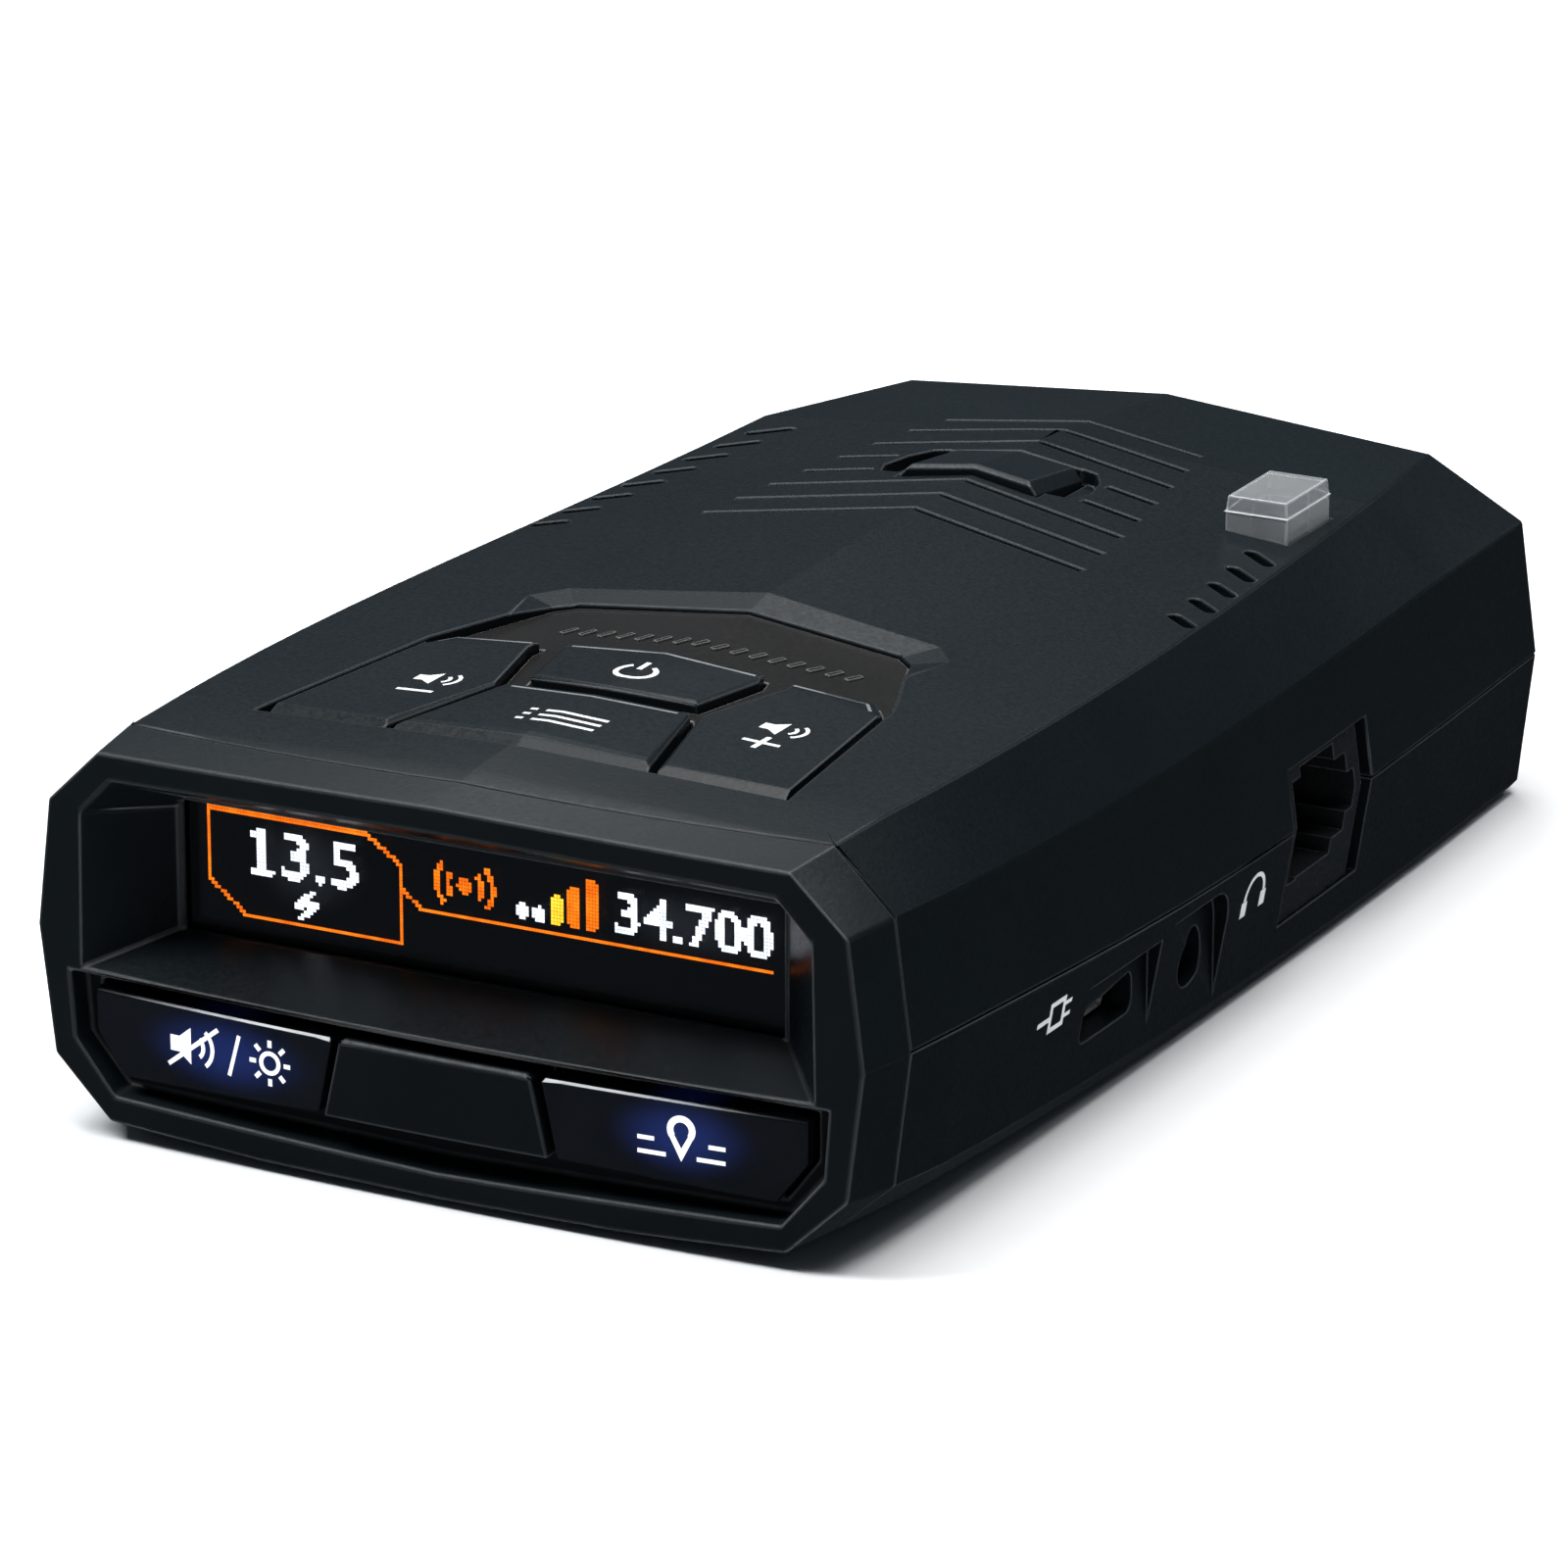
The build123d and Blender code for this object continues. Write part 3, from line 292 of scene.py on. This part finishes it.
def circuit_board():
    """Solder mask with copper tracks showing through as paler lines on a square grid."""
    material, tree, shader = new_material("circuit_board")
    tracks = tree.nodes.new("ShaderNodeTexBrick")
    tracks.inputs["Scale"].default_value = 260.0
    tracks.inputs["Mortar Size"].default_value = 0.035
    tracks.inputs["Color1"].default_value = (0.008, 0.060, 0.028, 1.0)
    tracks.inputs["Color2"].default_value = (0.012, 0.075, 0.034, 1.0)
    tracks.inputs["Mortar"].default_value = (0.030, 0.130, 0.060, 1.0)
    tree.links.new(tree.nodes.new("ShaderNodeTexCoord").outputs["Object"], tracks.inputs["Vector"])
    tree.links.new(tracks.outputs["Color"], shader.inputs["Base Color"])
    tree.links.new(spread(tree, noise(tree, 400.0), 0.28, 0.40), shader.inputs["Roughness"])
    bump = tree.nodes.new("ShaderNodeBump")
    bump.inputs["Strength"].default_value = 0.5
    bump.inputs["Distance"].default_value = 0.00003
    tree.links.new(tracks.outputs["Fac"], bump.inputs["Height"])
    tree.links.new(bump.outputs["Normal"], shader.inputs["Normal"])
    return material


board_mask = circuit_board()
black_nylon = plain("black_nylon", (0.010, 0.011, 0.012), (0.018, 0.019, 0.021), 0.42, scale=300.0)
tin_plate = plain("tin_plate", (0.62, 0.62, 0.60), (0.78, 0.78, 0.76), 0.28, 0.7, 220.0, (1, 6, 1))
for name in ("main_board", "front_board", "key_board"):
    finish_node(name, board_mask)
finish_node("shield_can", tin_plate)
fired_ceramic = plain("fired_ceramic", (0.62, 0.54, 0.42), (0.70, 0.62, 0.50), 0.45, scale=500.0)
finish_node("gps_antenna", fired_ceramic)
finish_node("horn_antenna", plain("cast_zinc", (0.42, 0.43, 0.44), (0.55, 0.56, 0.57), 0.42, 1.0, 350.0))
finish_node("board_connector", black_nylon)
finish_node("board_screws", plain("screw_steel", (0.55, 0.55, 0.54), (0.66, 0.66, 0.65), 0.30, 1.0, 600.0))
finish_node("laser_sensor", black_nylon)
finish_node("road_laser_sensor", black_nylon)


# ------------------------------------------------------------------ speaker
# A pressed steel basket with its magnet, a pulp cone and a foam ring that seals it to the roof slots.
foam = plain("foam", (0.012, 0.012, 0.013), (0.03, 0.03, 0.03), 0.95, scale=2200.0, depth=0.00012)
finish_node("speaker", plain("speaker_steel", (0.05, 0.05, 0.052), (0.08, 0.08, 0.082), 0.38, scale=260.0))
paper_cone = plain("paper_cone", (0.03, 0.029, 0.028), (0.06, 0.058, 0.055), 0.9, scale=1400.0)
finish_node("speaker_cone", paper_cone)
finish_node("speaker_gasket", foam)


# ------------------------------------------------------------------ sockets in the flank
# A tin-plated micro USB shell on its black tongue, a moulded 3.5 mm audio socket with a sprung
# contact, and a six-way modular power socket with gilt wires. All stand on the main board.
# Its rounded edges get the default pale colour as a painted highlight.
socket_black = moulded("socket_black", (0.006, 0.007, 0.008), (0.010, 0.011, 0.012), 0.30, 0.15, 0.15)
finish_node("usb_socket", tin_plate)
finish_node("usb_tongue", black_nylon)
finish_node("audio_socket", socket_black)
finish_node("audio_contact", tin_plate)
finish_node("power_socket", socket_black)
finish_node("power_contacts", plain("gilt_wire", (0.80, 0.56, 0.20), (0.90, 0.68, 0.30), 0.22, 1.0, 700.0))


# ------------------------------------------------------------------ display glass and its readout
# A black glass dot display behind the window. Its lit dots are squares on a fine grid: a boxed
# voltage, a band symbol, a rising signal scale, a frequency, and a line under them.
DOT = 0.26
DOT_FILL = 0.86
WINDOW_HALF, WINDOW_TOP, WINDOW_BOTTOM = 24.7, 24.9, 14.9
GLASS_GAP = 0.03


def number_grid(text, height, width):
    """Tests whether a point of a line of numerals, centred on its middle, is inked."""
    curve = bpy.data.curves.new("numerals", "FONT")
    curve.body = text
    curve.offset = 0.018
    holder = bpy.data.objects.new("numerals", curve)
    bpy.context.scene.collection.objects.link(holder)
    bpy.context.view_layer.update()
    mesh = bpy.data.meshes.new_from_object(holder.evaluated_get(bpy.context.evaluated_depsgraph_get()))
    places = [v.co.copy() for v in mesh.vertices]
    tree = BVHTree.FromPolygons(places, [list(p.vertices) for p in mesh.polygons])
    xs = [p.x for p in places]
    ys = [p.y for p in places]
    rise, run = (max(ys) - min(ys)) / height, (max(xs) - min(xs)) / width
    middle = Vector(((max(xs) + min(xs)) / 2, (max(ys) + min(ys)) / 2, 1.0))
    bpy.data.objects.remove(holder)
    bpy.data.meshes.remove(mesh)
    bpy.data.curves.remove(curve)

    def inked(x, y):
        return tree.ray_cast(middle + Vector((x * run, y * rise, 0)), Vector((0, 0, -1)))[0] is not None

    return inked


def near_line(p, a, b, reach):
    """True if a point lies within a distance of the segment from a to b."""
    run = (b[0] - a[0], b[1] - a[1])
    t = ((p[0] - a[0]) * run[0] + (p[1] - a[1]) * run[1]) / (run[0] ** 2 + run[1] ** 2)
    t = max(0.0, min(1.0, t))
    return math.hypot(p[0] - a[0] - t * run[0], p[1] - a[1] - t * run[1]) <= reach


def spot(u, v):
    """Millimetres across and up for shares of the window's width and, from its top, height."""
    return (2 * u - 1) * WINDOW_HALF, WINDOW_TOP - v * (WINDOW_TOP - WINDOW_BOTTOM)


voltage = number_grid("13.5", 3.7, 8.4)
frequency = number_grid("34.700", 3.3, 12.6)
box_corners = [spot(0.03, 0.06), spot(0.295, 0.06), spot(0.355, 0.26), spot(0.355, 0.85), spot(0.09, 0.85),
               spot(0.03, 0.62)]
box_sides = list(zip(box_corners, box_corners[1:] + box_corners[:1]))
under_line = [spot(0.355, 0.44), spot(0.395, 0.58), spot(0.967, 0.58)]
line_runs = box_sides + list(zip(under_line, under_line[1:]))
voltage_x, voltage_z = spot(0.198, 0.34)
bolt_x, bolt_z = spot(0.195, 0.70)
band_x, band_z = spot(0.462, 0.33)
scale_x, scale_z = spot(0.545, 0.50)
frequency_x, frequency_z = spot(0.84, 0.33)
BOLT = [(0.5, 1.0), (-0.9, -0.15), (0.9, 0.15), (-0.5, -1.0)]
SERIFS = [((-4.7, -1.6), (-3.1, -1.6)), ((-4.0, 1.45), (-4.6, 1.1))]


def dot_colour(x, z):
    """white, yellow or orange for a lit dot, None for a dark one."""
    if voltage(x - voltage_x, z - voltage_z) or frequency(x - frequency_x, z - frequency_z):
        return "white"
    if any(near_line((x - voltage_x, z - voltage_z), a, b, 0.27) for a, b in SERIFS):
        return "white"
    bolt = [(bolt_x + a, bolt_z + b) for a, b in BOLT]
    if any(near_line((x, z), a, b, 0.24) for a, b in zip(bolt, bolt[1:])):
        return "white"
    if any(near_line((x, z), a, b, 0.17) for a, b in line_runs):
        return "orange"
    across, up = x - band_x, z - band_z
    distance = math.hypot(across, up)
    in_wave = 1.15 < distance < 1.62 or 2.1 < distance < 2.55
    if distance < 0.62 or (in_wave and abs(across) > abs(up) * 1.15):
        return "orange"
    for i, (tall, colour) in enumerate(((0.1, "white"), (0.1, "white"), (1.2, "yellow"), (2.1, "orange"),
                                        (2.9, "orange"))):
        foot = (scale_x + 0.6 + i * 1.42, scale_z + 0.5)
        if near_line((x, z), foot, (foot[0], foot[1] + tall), 0.55):
            return colour
    return None


def emitter(name, low, high, strength):
    """Lit dots, a little uneven in tone and brightness."""
    material, tree, shader = new_material(name)
    cloud = noise(tree, 900.0)
    tone = blend_colours(tree, spread(tree, cloud, 0.0, 1.0), low, high)
    tree.links.new(tone, shader.inputs["Emission Color"])
    tree.links.new(spread(tree, cloud, strength * 0.8, strength * 1.15), shader.inputs["Emission Strength"])
    shader.inputs["Base Color"].default_value = (0.02, 0.02, 0.02, 1.0)
    shader.inputs["Roughness"].default_value = 0.5
    return material


glass_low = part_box("display_panel")[0]
dots = {"white": [], "yellow": [], "orange": []}
columns, rows = int(2 * WINDOW_HALF / DOT), int((WINDOW_TOP - WINDOW_BOTTOM) / DOT)
for column in range(columns):
    for row in range(rows):
        x = -WINDOW_HALF + (column + 0.5) * DOT
        z = WINDOW_BOTTOM + (row + 0.5) * DOT
        colour = dot_colour(x, z)
        if colour:
            dots[colour].append((x, z))
dot_glow = {
    "white": emitter("white_dots", (0.80, 0.88, 1.0), (1.0, 1.0, 1.0), 2.4),
    "yellow": emitter("yellow_dots", (1.0, 0.55, 0.02), (1.0, 0.65, 0.05), 2.4),
    "orange": emitter("orange_dots", (1.0, 0.15, 0.002), (1.0, 0.21, 0.006), 2.0),
}
for colour, places in dots.items():
    half = DOT * DOT_FILL / 2 * MM
    y = glass_low.y - GLASS_GAP * MM
    corners, faces = [], []
    for x, z in places:
        first = len(corners)
        for back in (glass_low.y - 0.002 * MM, y):
            corners += [(x * MM - half, back, z * MM - half), (x * MM + half, back, z * MM - half),
                        (x * MM + half, back, z * MM + half), (x * MM - half, back, z * MM + half)]
        faces += [tuple(first + k for k in quad) for quad in
                  ((0, 3, 2, 1), (4, 5, 6, 7), (0, 1, 5, 4), (1, 2, 6, 5), (2, 3, 7, 6), (3, 0, 4, 7))]
    mesh = bpy.data.meshes.new("display_dots_" + colour)
    mesh.from_pydata(corners, [], faces)
    mesh.materials.append(dot_glow[colour])
    piece = bpy.data.objects.new("display_dots_" + colour, mesh)
    bpy.context.scene.collection.objects.link(piece)
    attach(piece, "case")


def halo(tree, centre, reach):
    """Falls from 1 at a point of the front view to 0 at the reach, given as across and up, in mm."""
    place = tree.nodes.new("ShaderNodeMapping")
    place.vector_type = "TEXTURE"
    place.inputs["Location"].default_value = (centre[0] * MM, 0, centre[1] * MM)
    place.inputs["Scale"].default_value = (reach[0] * MM, 1.0, reach[1] * MM)
    tree.links.new(tree.nodes.new("ShaderNodeTexCoord").outputs["Object"], place.inputs["Vector"])
    parts = tree.nodes.new("ShaderNodeSeparateXYZ")
    tree.links.new(place.outputs["Vector"], parts.inputs["Vector"])
    flat = tree.nodes.new("ShaderNodeCombineXYZ")
    tree.links.new(parts.outputs["X"], flat.inputs["X"])
    tree.links.new(parts.outputs["Z"], flat.inputs["Y"])
    length = tree.nodes.new("ShaderNodeVectorMath")
    length.operation = "LENGTH"
    tree.links.new(flat.outputs["Vector"], length.inputs[0])
    fall = tree.nodes.new("ShaderNodeMapRange")
    fall.interpolation_type = "SMOOTHERSTEP"
    fall.inputs["From Min"].default_value = 1.0
    fall.inputs["From Max"].default_value = 0.0
    tree.links.new(length.outputs["Value"], fall.inputs["Value"])
    return fall.outputs["Result"]


def glowing(name, low, high, roughness, glow, spots):
    """Gloss black with a soft glow around the lit places."""
    material, tree, shader = new_material(name)
    tree.links.new(blend_colours(tree, spread(tree, noise(tree, 120.0), 0.0, 1.0), low, high),
                   shader.inputs["Base Color"])
    uneven = spread(tree, noise(tree, 500.0), roughness, roughness + 0.08)
    tree.links.new(uneven, shader.inputs["Roughness"])
    total = None
    for centre, reach, strength in spots:
        part = spread(tree, halo(tree, centre, reach), 0.0, strength, 0.0, 1.0)
        if total is None:
            total = part
            continue
        add = tree.nodes.new("ShaderNodeMath")
        tree.links.new(total, add.inputs[0])
        tree.links.new(part, add.inputs[1])
        total = add.outputs["Value"]
    tree.links.new(total, shader.inputs["Emission Strength"])
    shader.inputs["Emission Color"].default_value = (*glow, 1.0)
    return material


finish_node("display_panel", glowing(
    "display_glass", (0.004, 0.004, 0.005), (0.007, 0.007, 0.008), 0.12, (0.45, 0.52, 0.62),
    [((voltage_x, voltage_z - 0.6), (5.6, 4.4), 0.035), ((frequency_x, frequency_z), (8.6, 3.0), 0.035)]))


# ------------------------------------------------------------------ gasket, display board, window
# Foam frame round the glass, the display board with its two key switches, and a polished acrylic
# window, smoked grey, that presses against the back of the bezel.
finish_node("display_gasket", foam)
finish_node("front_switches", plain("switch_steel", (0.5, 0.5, 0.5), (0.62, 0.62, 0.61), 0.33, 1.0, 500.0))


def acrylic(name, tint, roughness, strength=1.0):
    """Cast acrylic: see-through, polished, with faint moulding waves in its surface."""
    material, tree, shader = new_material(name)
    tone = blend_colours(tree, spread(tree, noise(tree, 60.0), 0.0, 1.0), tint,
                         tuple(min(1.0, c * 1.08) for c in tint))
    tree.links.new(tone, shader.inputs["Base Color"])
    uneven = spread(tree, noise(tree, 300.0), roughness, roughness + 0.03)
    tree.links.new(uneven, shader.inputs["Roughness"])
    bump = tree.nodes.new("ShaderNodeBump")
    bump.inputs["Strength"].default_value = 0.15
    bump.inputs["Distance"].default_value = 0.00002
    tree.links.new(noise(tree, 110.0), bump.inputs["Height"])
    tree.links.new(bump.outputs["Normal"], shader.inputs["Normal"])
    shader.inputs["Transmission Weight"].default_value = strength
    shader.inputs["IOR"].default_value = 1.49
    return material


finish_node("display_window", acrylic("window_acrylic", (0.72, 0.74, 0.78), 0.02))


# ------------------------------------------------------------------ bezel
# The front moulding: an octagonal rim, the hood over the display, the sloping shelf under it and the
# sunk panel for the keys. Satin ABS, its rounded edges painted pale as a highlight. It clips into both
# covers.
# Pale colour painted on the rounded edges as a highlight.
bezel_plastic = moulded("bezel_plastic", (0.0030, 0.0056, 0.0074), (0.0042, 0.0072, 0.0092), 0.36,
                        edge=0.30, highlight_colour=(0.24, 0.25, 0.26))
softened("front_bezel", 0.20, bezel_plastic)


# ------------------------------------------------------------------ keys under the display
# Two gloss black keys, lit from behind: the symbols are white and the black round them glows blue.
# A blank satin panel fills the space between them.
MUTE_AT, MARK_AT = (-17.8, 8.4), (19.6, 8.6)
key_gloss = glowing("key_gloss", (0.003, 0.004, 0.006), (0.005, 0.006, 0.009), 0.16, (0.03, 0.07, 0.42),
                    [(MUTE_AT, (8.8, 3.6), 0.26), (MARK_AT, (6.8, 3.6), 0.26)])
softened("mute_button", 0.12, key_gloss)
softened("mark_button", 0.12, key_gloss)
# Its rounded edges get the default pale colour as a painted highlight.
blank_plastic = moulded("blank_plastic", (0.0030, 0.0050, 0.0065), (0.0042, 0.0064, 0.0080), 0.38)
softened("front_center_panel", 0.14, blank_plastic)


def bar(work, a, b, width):
    """A flat bar between two points of a symbol."""
    along = (Vector(b) - Vector(a)).normalized()
    side = Vector((-along.y, along.x)) * width / 2
    ends = [Vector(a) - side, Vector(b) - side, Vector(b) + side, Vector(a) + side]
    work.faces.new([work.verts.new((p.x, p.y, 0)) for p in ends])


def arc(work, centre, radius, width, start, end, steps=18):
    """A flat arc of a symbol, its angles in degrees."""
    rings = []
    for i in range(steps + 1):
        turn = math.radians(start + (end - start) * i / steps)
        rings.append([work.verts.new((centre[0] + r * math.cos(turn), centre[1] + r * math.sin(turn), 0))
                      for r in (radius - width / 2, radius + width / 2)])
    for near, far in zip(rings, rings[1:]):
        work.faces.new((near[0], near[1], far[1], far[0]))


def patch(work, points):
    """A flat filled shape of a symbol."""
    work.faces.new([work.verts.new((x, y, 0)) for x, y in points])


def loudspeaker(work, x, y, size):
    """The usual loudspeaker symbol with two sound waves."""
    patch(work, [(x - 0.9 * size, y - 0.3 * size), (x - 0.5 * size, y - 0.3 * size), (x, y - 0.7 * size),
                 (x, y + 0.7 * size), (x - 0.5 * size, y + 0.3 * size), (x - 0.9 * size, y + 0.3 * size)])
    arc(work, (x + 0.1 * size, y), 0.45 * size, 0.16 * size, -50, 50, 8)
    arc(work, (x + 0.1 * size, y), 0.85 * size, 0.16 * size, -50, 50, 10)


AXES = {  # how a symbol's own x and y lie on the object, and the way the print meets the surface
    "roof": (Vector((1, 0, 0)), Vector((0, 1, 0)), Vector((0, 0, -1))),
    "front": (Vector((1, 0, 0)), Vector((0, 0, 1)), Vector((0, 1, 0))),
    "flank": (Vector((0, 1, 0)), Vector((0, 0, 1)), Vector((-1, 0, 0))),
}
INK = 0.02


def printed(name, work, place, side, target, material, thickness=INK):
    """Lays a flat symbol on a piece's surface as a thin layer of ink and closes it into a solid."""
    across, up, inward = AXES[side]
    surface = nodes[target].data
    faces = [list(p.vertices) for p in surface.polygons]
    tree = BVHTree.FromPolygons([v.co for v in surface.vertices], faces)
    if side == "roof":
        ridge = Vector((-place[0], 0, 0))
        everything = work.verts[:] + work.edges[:] + work.faces[:]
        bmesh.ops.bisect_plane(work, geom=everything, plane_co=ridge, plane_no=(1, 0, 0))
    bmesh.ops.recalc_face_normals(work, faces=work.faces)
    for v in work.verts:
        start = (across * (place[0] + v.co.x) + up * (place[1] + v.co.y)) * MM - inward * 0.1
        hit = tree.ray_cast(start, inward)[0]
        v.co = hit - inward * thickness * MM
    grown = bmesh.ops.extrude_face_region(work, geom=work.faces[:])
    for v in (g for g in grown["geom"] if isinstance(g, bmesh.types.BMVert)):
        v.co += inward * (thickness + INK) * MM
    bmesh.ops.recalc_face_normals(work, faces=work.faces)
    mesh = bpy.data.meshes.new(name)
    work.to_mesh(mesh)
    work.free()
    mesh.materials.append(material)
    piece = bpy.data.objects.new(name, mesh)
    bpy.context.scene.collection.objects.link(piece)
    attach(piece, body_of[target])


lit_symbol = emitter("lit_symbol", (0.86, 0.92, 1.0), (1.0, 1.0, 1.0), 1.3)
symbol = bmesh.new()
loudspeaker(symbol, -3.0, 0, 2.0)
bar(symbol, (-5.0, -1.7), (-0.6, 1.7), 0.34)
bar(symbol, (0.35, -1.6), (1.25, 1.6), 0.3)
arc(symbol, (3.9, 0), 0.75, 0.34, 0, 360, 24)
for i in range(8):
    ray = Vector((math.cos(math.radians(45 * i)), math.sin(math.radians(45 * i))))
    bar(symbol, Vector((3.9, 0)) + ray * 1.2, Vector((3.9, 0)) + ray * 1.75, 0.34)
printed("mute_symbol", symbol, MUTE_AT, "front", "mute_button", lit_symbol)
symbol = bmesh.new()
arc(symbol, (0, 0.55), 0.85, 0.5, -35, 215, 26)
patch(symbol, [(-1.05, 0.25), (-0.55, 0.15), (0, -0.85), (0.55, 0.15), (1.05, 0.25), (0, -1.8)])
for side in (1, -1):
    bar(symbol, (side * 1.2, -1.45), (side * 3.4, -1.45), 0.32)
    bar(symbol, (side * 2.1, -0.4), (side * 3.4, -0.4), 0.32)
printed("mark_symbol", symbol, MARK_AT, "front", "mark_button", lit_symbol)


# ------------------------------------------------------------------ keypad, key board and its screws
# A silicone sheet with a dome under each key, on the small board that two screws hold to the roof.
finish_node("keypad", plain("silicone", (0.20, 0.20, 0.20), (0.26, 0.26, 0.26), 0.65, scale=500.0))
finish_node("key_board_screws", nodes["board_screws"].data.materials[0])


# ------------------------------------------------------------------ roof keys and their trim plate
# Four satin keys that follow the roof, with a gloss plate sunk round them. Each has a bevel towards
# the driver, a thin pale line painted on its far edge as a glint, and a printed white symbol.
# The plate has short ribs. Rounded edges of keys and plate are painted pale as highlights.
# Rounded key edges are painted pale (0.20 to 0.24) as a highlight.
key_plastic = moulded("top_key_plastic", (0.0040, 0.0068, 0.0088), (0.0054, 0.0086, 0.0108), 0.34,
                      grain=0.25, edge=0.22, highlight_colour=(0.20, 0.22, 0.24))
for name in ("volume_down_button", "menu_button", "volume_up_button", "power_button"):
    softened(name, 0.10, key_plastic)
# The plate's rounded edges are painted almost white as a highlight.
trim_gloss = moulded("trim_gloss", (0.012, 0.0115, 0.011), (0.017, 0.016, 0.0155), 0.20,
                     grain=0.05, edge=0.22, highlight_colour=(0.50, 0.50, 0.49))
softened("button_trim_plate", 0.08, trim_gloss)
symbol = bmesh.new()
for i in range(16):
    bar(symbol, (1.6 * i - 12.2, -0.7), (1.6 * i - 11.6, 0.7), 0.5)
printed("trim_plate_ribs", symbol, (0.8, -21.3), "roof", "button_trim_plate", trim_gloss, 0.14)

# Pale lines painted along the keys' far edges as glints: a painted highlight.
painted_glint = plain("polished_lip", (0.34, 0.35, 0.36), (0.46, 0.47, 0.48), 0.22, 0.5, 400.0)
GLINT_LINES = {
    "power_button": [(-7.7, -27.0), (0, -26.64), (7.7, -27.0)],
    "menu_button": [(-6.9, -37.5), (0, -37.9), (6.9, -37.5)],
    "volume_down_button": [(-11.0, -27.2), (-17.2, -27.5), (-18.1, -28.8)],
    "volume_up_button": [(11.0, -27.2), (17.2, -27.5), (18.1, -28.8)],
}
for name, corners in GLINT_LINES.items():
    glint_line = bmesh.new()
    for a, b in zip(corners, corners[1:]):
        bar(glint_line, a, b, 0.26)
    printed(name + "_lip", glint_line, (0, 0), "roof", name, painted_glint)

white_ink = plain("white_ink", (0.72, 0.73, 0.74), (0.82, 0.83, 0.84), 0.55, scale=900.0)
symbol = bmesh.new()
loudspeaker(symbol, 0, 1.2, 1.9)
bar(symbol, (-1.6, -1.9), (1.4, -1.9), 0.42)
printed("volume_down_symbol", symbol, (-13.1, -38.9), "roof", "volume_down_button", white_ink)
symbol = bmesh.new()
loudspeaker(symbol, 0, 1.5, 1.9)
bar(symbol, (-1.5, -1.9), (1.5, -1.9), 0.42)
bar(symbol, (0, -1.9 - 1.3), (0, -1.9 - 0.21), 0.42)
bar(symbol, (0, -1.9 + 0.21), (0, -1.9 + 1.3), 0.42)
printed("volume_up_symbol", symbol, (14.8, -37.6), "roof", "volume_up_button", white_ink)
symbol = bmesh.new()
for i in (-1, 0, 1):
    bar(symbol, (-1.9, i * 1.15), (3.2, i * 1.15), 0.4)
    bar(symbol, (-3.2, i * 1.15), (-2.6, i * 1.15), 0.4)
printed("menu_symbol", symbol, (0.5, -43.2), "roof", "menu_button", white_ink)
symbol = bmesh.new()
arc(symbol, (0, 0), 1.5, 0.42, 125, 415, 30)
bar(symbol, (0, 0.45), (0, 2.1), 0.42)
printed("power_symbol", symbol, (0.0, -31.2), "roof", "power_button", white_ink)


# ------------------------------------------------------------------ symbols printed on the flank
# White pad prints beside the two sockets: a plug outline and a pair of headphones.
symbol = bmesh.new()
bar(symbol, (-3.0, 0), (-0.9, 0), 0.4)
for z in (-1.0, 1.0):
    bar(symbol, (-0.9, z), (1.2, z), 0.4)
bar(symbol, (-0.9, -1.2), (-0.9, 1.2), 0.4)
bar(symbol, (1.2, -1.2), (1.2, 1.2), 0.4)
for z in (-0.5, 0.5):
    bar(symbol, (1.4, z), (2.4, z), 0.32)
printed("update_port_symbol", symbol, (-30.9, 10.6), "flank", "bottom_cover", white_ink)
symbol = bmesh.new()
arc(symbol, (0, -0.3), 1.7, 0.36, 0, 180, 20)
for y in (-1.7, 1.7):
    bar(symbol, (y, -0.35), (y, -1.6), 0.95)
printed("headphone_symbol", symbol, (3.6, 9.3), "flank", "bottom_cover", white_ink)


# ------------------------------------------------------------------ bracket sleeve, latch, spring, button
# The button on the roof pushes a nylon yoke down against a steel spring, and its tooth leaves the
# bracket in the sleeve. The button is moulded in the key plastic.
softened("release_button", 0.12, key_plastic)
finish_node("release_yoke", black_nylon)
finish_node("bracket_guide", black_nylon)
coil_mesh = nodes["release_spring"].data.copy()
coil_mesh.materials.clear()
coil_mesh.materials.append(plain("spring_steel", (0.55, 0.55, 0.54), (0.68, 0.68, 0.67), 0.25, 1.0, 600.0))
coil = bpy.data.objects.new("release_spring_coil", coil_mesh)
bpy.context.scene.collection.objects.link(coil)
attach(coil, "case")
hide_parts("release_spring")
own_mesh(coil)


# ------------------------------------------------------------------ sensor prism and road end
# A clear moulded prism with frosted edges stands through the roof over its photodiode. The road end is
# closed by a dark infrared window with a clear condenser lens behind it.
clear_acrylic = acrylic("clear_acrylic", (0.90, 0.93, 0.96), 0.015, 0.8)
clear_tree = clear_acrylic.node_tree
edge_share = rounded_edge_mask(clear_tree, 0.35 * MM)[0]
clear_tree.links.new(spread(clear_tree, edge_share, 0.80, 0.25, 0.0, 1.0),
                     clear_tree.nodes["Principled BSDF"].inputs["Transmission Weight"])
softened("rear_laser_prism", 0.10, clear_acrylic, 2, 30.0)
finish_node("road_laser_lens", acrylic("lens_acrylic", (0.90, 0.93, 0.97), 0.02))
finish_node("road_window", acrylic("infrared_acrylic", (0.16, 0.03, 0.035), 0.04, 0.85))


# ------------------------------------------------------------------ rating label and case screws
# A satin film label, left blank, in its recess in the underside, and four black zinc screws.
label_film = plain("label_film", (0.34, 0.35, 0.37), (0.40, 0.41, 0.43), 0.35, 0.3, 240.0, (1, 14, 1))
finish_node("label_plate", label_film)
finish_node("case_screws", plain("black_zinc", (0.03, 0.03, 0.032), (0.06, 0.06, 0.062), 0.35, 0.8, 500.0))
